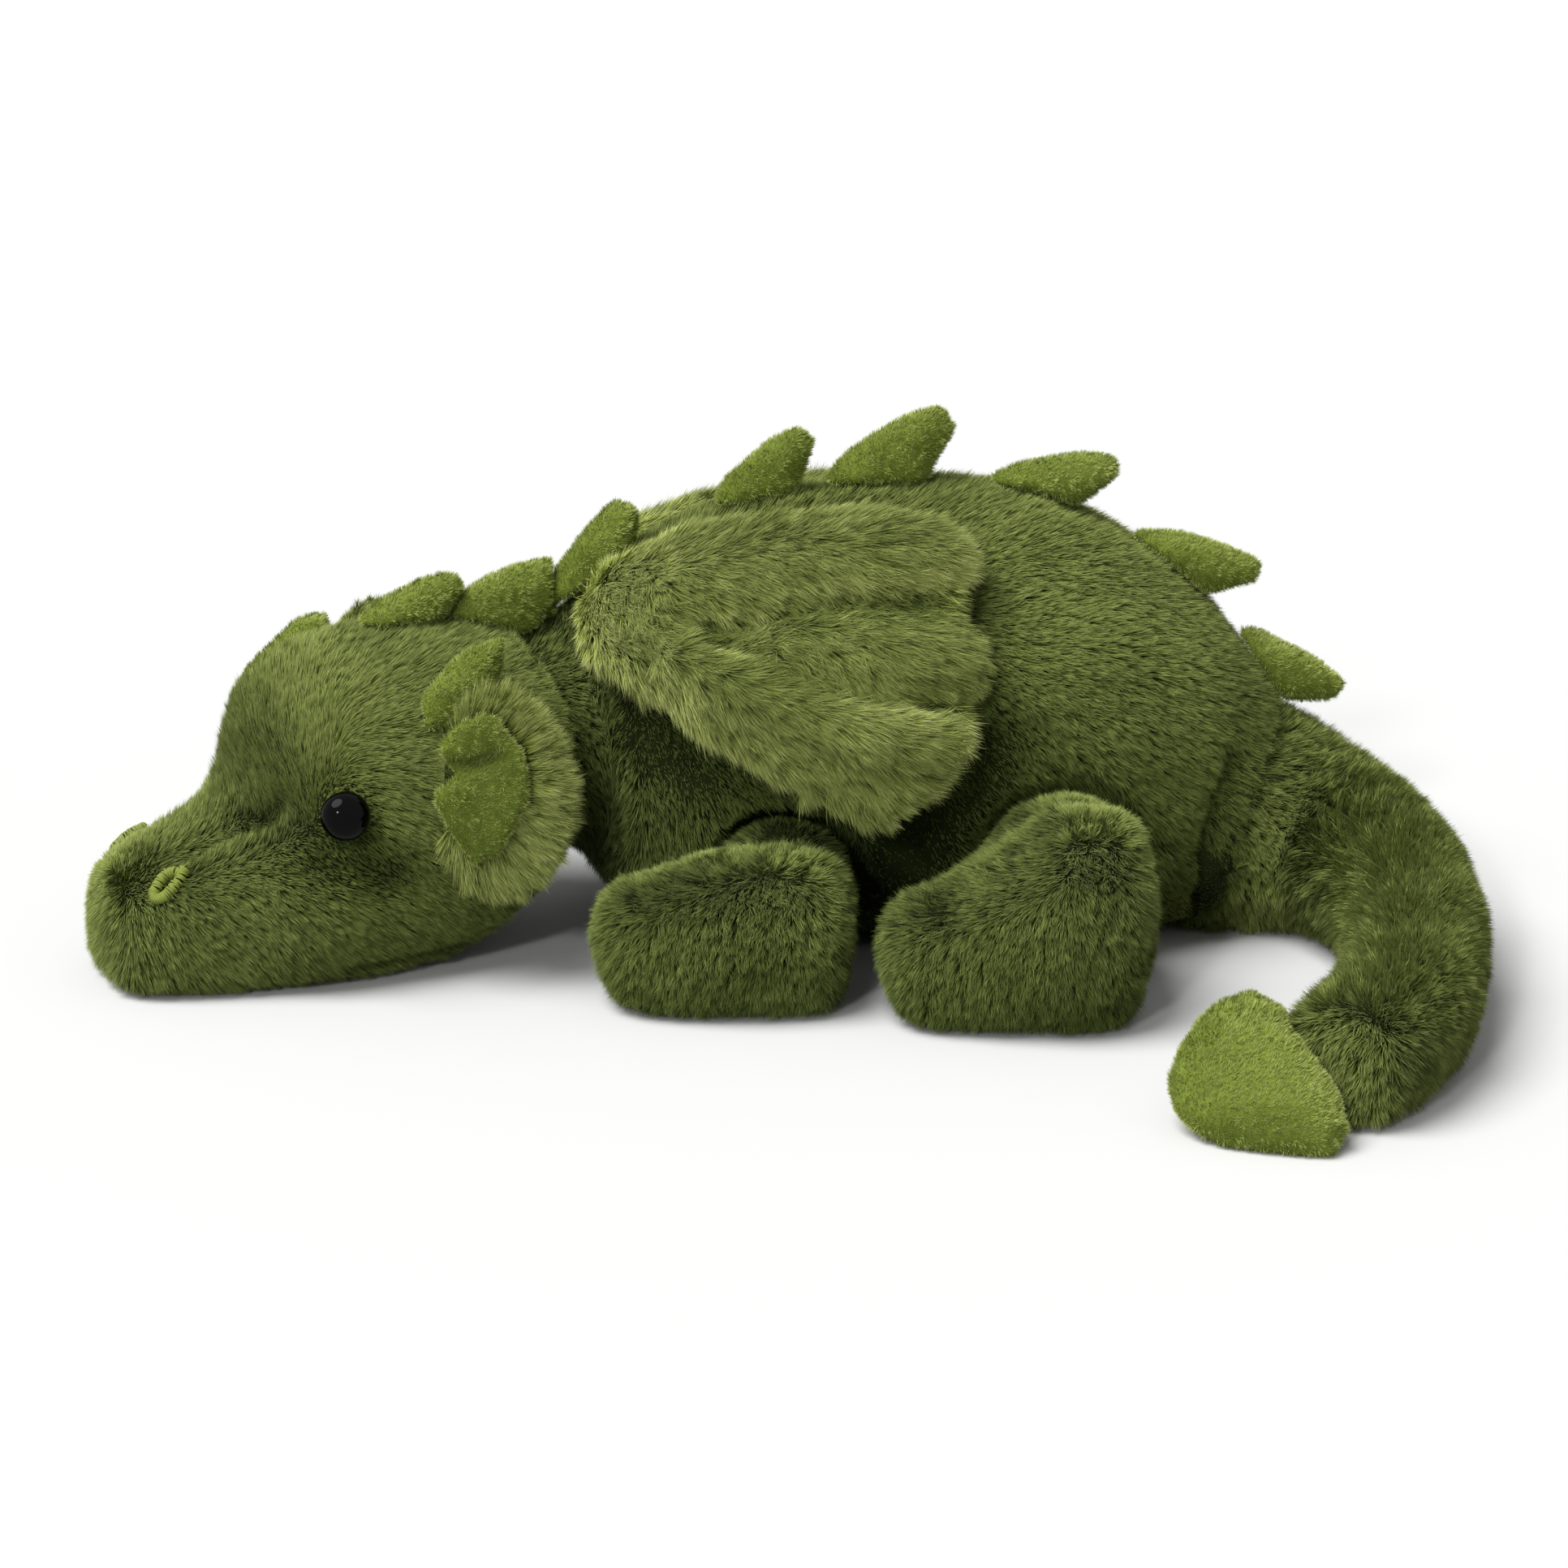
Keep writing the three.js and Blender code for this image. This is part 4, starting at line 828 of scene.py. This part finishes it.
def makeStitch(name):
    # the outer half of a small ring of thread
    bpy.ops.mesh.primitive_torus_add(
        major_segments=12, minor_segments=6,
        major_radius=nostril["loop"] * mm, minor_radius=nostril["thread"] * mm,
    )
    piece = bpy.context.object
    piece.name = name
    openMesh(piece)
    bpy.ops.mesh.bisect(plane_co=(0, nostril["cut"] * mm, 0), plane_no=(0, 1, 0), clear_inner=True,
                        use_fill=True)
    closeMesh()
    return piece


def makeNostril(side):
    spots = placesOf(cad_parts[f"{side}_nostril_stitching"])
    middle = Vector(spots.mean(axis=0)) + Vector((0, 0, nostril["rise"] * mm))
    tree = treeOf(headPad)
    outward = tree.find_nearest(middle)[1]
    forward = Vector(headAxis)
    forward = (forward - outward * forward.dot(outward)).normalized()
    climb = Vector((0, 0, 1))
    climb = (climb - outward * climb.dot(outward)).normalized()
    lean = math.radians(nostril["lean"])
    tall = (climb * math.cos(lean) - forward * math.sin(lean)).normalized()
    wide = tall.cross(outward).normalized()
    route = []
    for step in range(nostril["stitches"]):
        angle = 2 * math.pi * step / nostril["stitches"]
        taper = 1 - nostril["taper"] * max(0, math.cos(angle)) ** 2  # the upper end comes to a point
        flat = middle + tall * (nostril["length"] / 2 * mm * math.cos(angle))
        flat += wide * (nostril["width"] / 2 * mm * math.sin(angle) * taper)
        route.append(tree.find_nearest(flat)[0] + outward * nostril["proud"] * mm)
    stitch = makeStitch(f"{side}NostrilStitch")
    copies = []
    for step, place in enumerate(route):
        run = (route[(step + 1) % len(route)] - route[step - 1]).normalized()
        aside = outward.cross(run).normalized()
        turn = Matrix((aside, outward, aside.cross(outward))).transposed().to_4x4()
        turn.translation = place
        copies.append(newObject(stitch.name, stitch.data.copy()))
        copies[-1].data.transform(turn)
    bpy.data.objects.remove(stitch)
    pick(*copies)
    bpy.ops.object.join()
    piece = bpy.context.view_layer.objects.active
    piece.name = f"{side}NostrilStitches"
    finishSmall(piece, 50, limeThread, f"{side}_nostril_stitching")
    return np.array(middle)


nostrilPlaces = np.array([makeNostril(side) for side in ("left", "right")])
headSeamShadows.append((nostrilPlaces, *nostril["shade"]))
print("stage: head pad, eyes and nostrils")

# Legs
leg = {
    "pad": {"voxel": 3.5, "inset": 3.5, "smooth": 8, "lump": 0.7, "lumpWave": 34},
    "fur": {"seed": 13, "density": 4.2, "length": 5.8, "width": 0.46, "lift": 50, "droop": 42,
            "clump": 2.8, "gather": 0.22, "stray": 0.36},
    "comb": {"way": (-0.12, 0, -0.75), "out": (0.55, 0.55, 0), "waver": (35, 41, 0.25)},
    # painted shadow under the wing and between the legs, along runs of the body
    "shade": {"underWing": (15, 1.2), "legGap": (16, 1.2)},  # runs of the body
    "tone": {"height": (5, 70), "depth": 0.3, "shift": -0.18},
    "wingShadow": {"height": (46, 60), "out": (84, 96), "front": (-34, -18), "back": (40, 60),
                "thinner": 0.8, "paintedShadow": 0.4},
}
legPads = {}
for side in ("left", "right"):
    for place in ("front", "hind"):
        limb = f"{side}_{place}_leg"
        nodes = [f"{limb}_skin", f"{limb}_stuffing"]
        legPads[limb] = paddedBase(f"{side}{place.title()}LegPad", nodes, limb, "fur", leg["pad"])


def underWing(places):
    # painted shadow where the front leg goes up under the wing: the pile there is darker and thinner, so that
    # the dark backing shows
    area = leg["wingShadow"]
    high = easedOver(places[:, 2], *area["height"]) * (1 - easedOver(np.abs(places[:, 1]), *area["out"]))
    return high * easedOver(places[:, 0], *area["front"]) * (1 - easedOver(places[:, 0], *area["back"]))


def legDensity(places, normals):
    # thinner pile in the wing's shadow bares the dark backing: painted shadow
    return 1 - leg["wingShadow"]["thinner"] * underWing(places)


def legTone(places, normals):
    # painted light and shade from above, and painted shadow under the wing
    return paintedLightFromAbove(places, leg["tone"]) - leg["wingShadow"]["paintedShadow"] * underWing(places)


# Tail, and the filling in the neck
tail = {
    "pad": {"voxel": 3.5, "inset": 3.5, "smooth": 8, "lump": 0.8, "lumpWave": 40},
    "fur": {"seed": 14, "density": 3.8, "length": 5.8, "width": 0.5, "lift": 64, "droop": 58,
            "clump": 3.0, "gather": 0.22, "stray": 0.5},
    "root": {"along": (185, 212), "across": (-80, -55), "out": 6.5, "back": 9},  # fuller there
    "side": {"middle": (207, -140, 26), "reach": (14, 45, 30), "push": (4, 0, 0)},
    "tone": {"height": (5, 70), "depth": 0.3, "shift": 0.24, "end": (-190, -140), "endPaintedLight": 0.2},
    "route": [(165, -2, 39), (189, -4, 40), (212, -17, 33), (224, -49, 30), (226, -93, 28),
              (220, -137, 27), (209, -181, 26), (186, -216, 24), (177, -222, 23)],
    "comb": {"along": 0.55, "sides": (0.15, 0, -0.75), "reach": 28},
}
tailPad = paddedBase("tailPad", ["tail_skin", "tail_stuffing"], "tail", "fur", tail["pad"])
root = tail["root"]
places = placesOf(tailPad)
nearRoot = (1 - easedOver(places[:, 0], *root["along"])) * easedOver(places[:, 1], *root["across"])
nearRoot = nearRoot[:, None]
places += normalsOf(tailPad) * nearRoot * root["out"] * mm - np.array([root["back"] * mm, 0, 0]) * nearRoot
places[:, 2] = np.maximum(places[:, 2], padRest["floorGap"] * mm)
setPlaces(tailPad, places)
swell(tailPad, np.array(tail["side"]["middle"]) * mm, tail["side"]["reach"], tail["side"]["push"])
neck = {"voxel": 3, "inset": 0, "smooth": 2, "lump": 0.5, "lumpWave": 20}
paddedBase("neckFill", ["neck_stuffing"], "neck", "filling", neck)
print("stage: padded bases")


def tailFlow(places, normals):
    # along the tail's curl, and down its sides
    comb, route = tail["comb"], np.array(tail["route"]) * mm
    runs = route[1:] - route[:-1]
    middles = (route[1:] + route[:-1]) / 2
    away = ((places[:, None, :2] - middles[None, :, :2]) ** 2).sum(axis=2)
    weights = np.exp(-away / (comb["reach"] * mm) ** 2) + 1e-9
    return unit(weights @ runs) * comb["along"] + np.array(comb["sides"]) * sideways(normals)


def tailTone(places, normals):
    # painted light and shade from above, and painted light towards the tail's end, which the pile's lean leaves
    # dark
    tone = tail["tone"]
    return paintedLightFromAbove(places, tone) + tone["endPaintedLight"] * (1 - easedOver(places[:, 1], *tone["end"]))


# Wings: ridges and swells are raised, folds are pressed in, and the pile in the folds is painted darker: painted
# shade
wing = {
    "pad": {"voxel": 2.5, "inset": 2.5, "smooth": 5, "lump": 0.8, "lumpWave": 30},
    "fur": {"seed": 15, "density": 4.6, "length": 10, "width": 0.46, "lift": 32, "droop": 12,
            "clump": 3.4, "gather": 0.4, "stray": 0.3},
    "comb": {"way": (0.85, 0, -0.45), "waver": (45, 51, 0.3)},
    "runs": {
        "ridge": [(732, 735), (848, 805), (932, 847), (1000, 872), (1073, 897), (1140, 905)],
        "shoulder": [(735, 700), (745, 760), (790, 820)],
        "topSwell": [(850, 690), (950, 680), (1060, 680), (1130, 685)],
        "lowSwell": [(880, 880), (980, 930), (1080, 960)],
        "lowerFold": [(860, 795), (957, 838), (1015, 855), (1082, 872), (1145, 868)],
        "upperFold": [(857, 772), (898, 772), (973, 755), (1040, 742), (1107, 740), (1140, 740)],
    },
    "press": {"ridge": (-9, 9), "shoulder": (-5, 15), "topSwell": (-4, 16), "lowSwell": (-5, 15),
              "lowerFold": (11, 7), "upperFold": (10, 9)},
    "shade": {"lowerFold": (4.5, 1.2), "upperFold": (5.5, 0.9)},
    "front": {"spots": [(790, 735)], "reach": (22, 40, 20), "push": (-6, 0, 5)},
    "notches": {"spots": [(1172, 745), (1182, 862)], "reach": (12, 40, 8), "push": (-7, 0, 0)},
    "off": {"left": 4.5, "right": 0.5},  # how far the pad stands off the flank
    "drop": {"left": 0, "right": 7},
    "offLow": {"more": 5, "height": (75, 125)},
    "middleHeight": {"off": 60, "rim": 70},
    "rim": {"paler": 1.3, "turned": (0.12, 0.6), "shift": -0.28},
    "underTorso": 2,
}


def fromMiddle(places, height):
    # away from a line that runs along the body at a height
    return unit(np.stack([np.zeros(len(places)), places[:, 1], places[:, 2] - height * mm], axis=1))


wingPads = {
    side: paddedBase(f"{side}WingPad", [f"{side}_wing_skin", f"{side}_wing_wadding"], f"{side}_wing",
                     "wing_fur", wing["pad"])
    for side in ("left", "right")
}
bareTree = treeOf(wingPads["left"])
wingLines = {run: seamLine(bareTree, spots) for run, spots in wing["runs"].items()}
wingSpots = {
    run: [np.array(seenSpot(bareTree, u, v)) for u, v in wing[run]["spots"]]
    for run in ("front", "notches")
}
wingFoldShadows = {}
for side, flip in (("left", 1), ("right", -1)):
    pad, mirror = wingPads[side], [1, flip, 1]
    places = placesOf(pad)
    low = 1 - easedOver(places[:, 2], *wing["offLow"]["height"])
    off = (wing["off"][side] + wing["offLow"]["more"] * low)[:, None] * mm
    places = places + fromMiddle(places, wing["middleHeight"]["off"]) * off
    setPlaces(pad, places - np.array([0, 0, wing["drop"][side]]) * mm)
    for spot in wingSpots["front"]:
        swell(pad, spot * mirror, wing["front"]["reach"], wing["front"]["push"])
    lines = {run: line * mirror for run, line in wingLines.items()}
    pressRuns(pad, lines, wing["press"])
    for spot in wingSpots["notches"]:
        swell(pad, spot * mirror, wing["notches"]["reach"], wing["notches"]["push"])
    wingFoldShadows[side] = shadedRuns(lines, wing["shade"])


def wingTone(places, normals):
    # paler where the pad turns over at its rim
    rim = wing["rim"]
    turned = 1 - np.abs((normals * fromMiddle(places, wing["middleHeight"]["rim"])).sum(axis=1))
    return rim["paler"] * eased(turned, *rim["turned"]) + rim["shift"]


# Ears
ear = {
    "pad": {"voxel": 1.8, "inset": 1.5, "smooth": 4, "lump": 0.5, "lumpWave": 24},
    "fur": {"seed": 16, "density": 6.0, "length": 9, "width": 0.4, "lift": 30, "droop": 16,
            "clump": 3.0, "gather": 0.4, "stray": 0.3},
    "comb": (0.45, 0, 0.15),
    "tone": 0.02,
    "length": {"left": 1.0, "right": 0.45},  # the far ear stays behind the dome
    "clear": {"near": 1.6, "ahead": 6, "low": 12},  # no pile over the lining
    "underHead": 2,
}
earPads = {
    side: paddedBase(f"{side}EarPad", [f"{side}_ear"], f"{side}_ear", "wing_fur", ear["pad"])
    for side in ("left", "right")
}
print("stage: wings and ears")

# Short-pile pieces: spikes, horns, ear linings, the tail's end and the belly
short = {
    "pad": {"voxel": 1.6, "inset": -0.9, "lump": 0.5, "lumpWave": 16},
    "fur": {"length": 2.0, "width": 0.43, "lift": 56, "droop": 42, "clump": 2.2, "gather": 0.2, "stray": 0.4,
            "patchy": 0.45},
    "comb": {"way": (0.5, 0, 0.4), "out": 0.3, "waver": (50, 0, 0)},
    "rim": {"paler": 0.55, "turned": (0.3, 0.9), "shift": 0.04},
    # painted shade along the lining's fold, as (width, strength)
    "fold": (2.6, 0.9),
}


def rimTone(base):
    # paler along the rim of a flat piece, where its two sides are sewn together
    rim = short["rim"]
    away = placesOf(base) - placesOf(base).mean(axis=0)
    thin = np.linalg.svd(away, full_matrices=False)[2][2]
    paler, shift = rim["paler"], rim["shift"]
    return lambda places, normals: paler * eased(1 - np.abs(normals @ thin), *rim["turned"]) + shift


def shortPiece(name, nodes, body, seed, slot="lime_plush", smooth=5, density=4.5, shape=None, folds=()):
    base = paddedBase(f"{name}Pad", nodes, body, slot, {**short["pad"], "smooth": smooth})
    if shape:
        shape(base)
    seamsAndShadows = [(line, *short["fold"]) for line in folds]
    settings = {**short["fur"], "seed": seed, "density": density}
    growFur(f"{name}Pile", base, body, slot, settings, combedBy(short["comb"]), rimTone(base), seamsAndShadows=seamsAndShadows)
    return base


broad = {"stretch": (1.22, 1.1, 0.86), "drop": 2}
farHorn = {"ahead": 7, "drop": 8}
lining = {"wide": 1.22, "tall": 1.06, "rise": 5, "ahead": 2.5, "drift": 4, "press": (4.5, 3.2),
          "low": (0.1, 1), "lowTaper": 0.5, "high": (0.4, 1), "highTaper": 0.35,
          "fold": [(552, 946), (580, 945), (608, 937)]}
liningFolds = {"left": [], "right": []}  # filled when the left lining is made


def broaden(base):
    # the third spike is sewn in lower and broader than the rest
    places = placesOf(base)
    middle = places.mean(axis=0)
    setPlaces(base, middle + (places - middle) * broad["stretch"] - np.array([0, 0, broad["drop"] * mm]))


def sinkFarHorn(base):
    # the far horn is sewn lower and only its tip shows over the brow
    setPlaces(base, placesOf(base) + headAxis * farHorn["ahead"] * mm - np.array([0, 0, farHorn["drop"] * mm]))


def shapeLining(base):
    # the lining fills the ear's cup from the head to near its free edge
    places = placesOf(base)
    middle = places.mean(axis=0)
    away = places - middle
    along = away @ headAxis
    height = away[:, 2] / np.abs(away[:, 2]).max()
    low = eased(-height, *lining["low"]) * lining["lowTaper"]
    high = eased(height, *lining["high"]) * lining["highTaper"]
    moved = along * (lining["wide"] - 1) + lining["ahead"] * mm
    moved -= (low + high) * (along + low * lining["drift"] * mm)
    places += headAxis * moved[:, None]
    places[:, 2] = middle[2] + away[:, 2] * lining["tall"] + lining["rise"] * mm
    setPlaces(base, places)
    side = "left" if base.name.startswith("left") else "right"
    if side == "left":
        fold = seamLine(treeOf(base), lining["fold"])
        liningFolds["left"].append(fold)
        liningFolds["right"].append(acrossHead(fold))
    pressIn(base, liningFolds[side][0], *lining["press"])


seeds = {"spike": 60, "horn": 70, "lining": 72, "tailTip": 74, "belly": 75}
for number in range(1, 9):
    shortPiece(f"spike{number}", [f"spine_spike_{number}"], "head" if number < 3 else "body",
               seeds["spike"] + number, shape=broaden if number == 3 else None)
liningPads = {}
for side in ("left", "right"):
    shortPiece(f"{side}Horn", [f"{side}_horn"], "head", seeds["horn"],
               shape=sinkFarHorn if side == "right" else None)
    liningPads[side] = shortPiece(f"{side}EarLining", [f"{side}_ear_lining"], f"{side}_ear", seeds["lining"],
                                  shape=shapeLining, folds=liningFolds[side])
shortPiece("tailTip", ["tail_tip_skin", "tail_tip_wadding"], "tail_tip", seeds["tailTip"], smooth=2)
shortPiece("bellyPanel", ["belly_panel"], "body", seeds["belly"], slot="belly_plush", density=0.5)
print("stage: short-pile pieces")

# The long pile, once every pad has its last shape
torsoTree, headTree = treeOf(torsoPad), treeOf(headPad)
growFur("bodyFur", torsoPad, "body", "fur", torso["fur"], combedBy(torso["comb"]), torsoTone,
        cover=(headTree, torso["underHead"]), seamsAndShadows=torsoSeamShadows, lengthAt=torsoLength)


def clearOfEyes(places, normals):
    return np.where(nearLine(places, eyePlaces) < eye["clear"] * mm, 0.0, 1.0)


def shortNearEyes(places, normals):
    return eye["shortest"] + (1 - eye["shortest"]) * easedOver(nearLine(places, eyePlaces), *eye["short"])


growFur("headFur", headPad, "head", "fur", head["fur"], headFlow, headTone,
        cover=(torsoTree, torso["underHead"]), seamsAndShadows=headSeamShadows, densityAt=clearOfEyes, lengthAt=shortNearEyes)
legShadows = shadedRuns(torsoLines, leg["shade"])
for limb, pad in legPads.items():
    growFur(f"{limb}_fur", pad, limb, "fur", leg["fur"], combedBy(leg["comb"]), legTone,
            cover=(torsoTree, torso["underTorso"]), seamsAndShadows=legShadows, densityAt=legDensity)
growFur("tailFur", tailPad, "tail", "fur", tail["fur"], tailFlow, tailTone,
        cover=(torsoTree, torso["underTorso"]))


def earFlow(side):
    # out from the lining on every side
    middle = placesOf(liningPads[side]).mean(axis=0)
    return lambda places, normals: unit(places - middle) + np.array(ear["comb"])


def behindLining(side):
    # the long pile stands round the lining's free edge and on the back of the ear
    tree = treeOf(liningPads[side])
    cloth = placesOf(liningPads[side])
    front = cloth @ headAxis
    middle = (front.min() + front.max()) / 2
    clear = ear["clear"]

    def share(places, normals):
        near = np.array([tree.find_nearest(Vector(place))[3] for place in places])
        ahead = places @ headAxis > middle + clear["ahead"] * mm
        high = places[:, 2] > cloth[:, 2].min() + clear["low"] * mm
        return np.where((near < clear["near"] * mm) | (ahead & high), 0.0, 1.0)
    return share


for side in ("left", "right"):
    growFur(f"{side}WingFur", wingPads[side], f"{side}_wing", "wing_fur", wing["fur"],
            combedBy(wing["comb"]), wingTone, cover=(torsoTree, wing["underTorso"]), seamsAndShadows=wingFoldShadows[side])
    growFur(f"{side}EarFur", earPads[side], f"{side}_ear", "wing_fur", ear["fur"], earFlow(side),
            lambda places, normals: ear["tone"], cover=(headTree, ear["underHead"]),
            densityAt=behindLining(side), lengthAt=lambda places, normals: ear["length"][side])
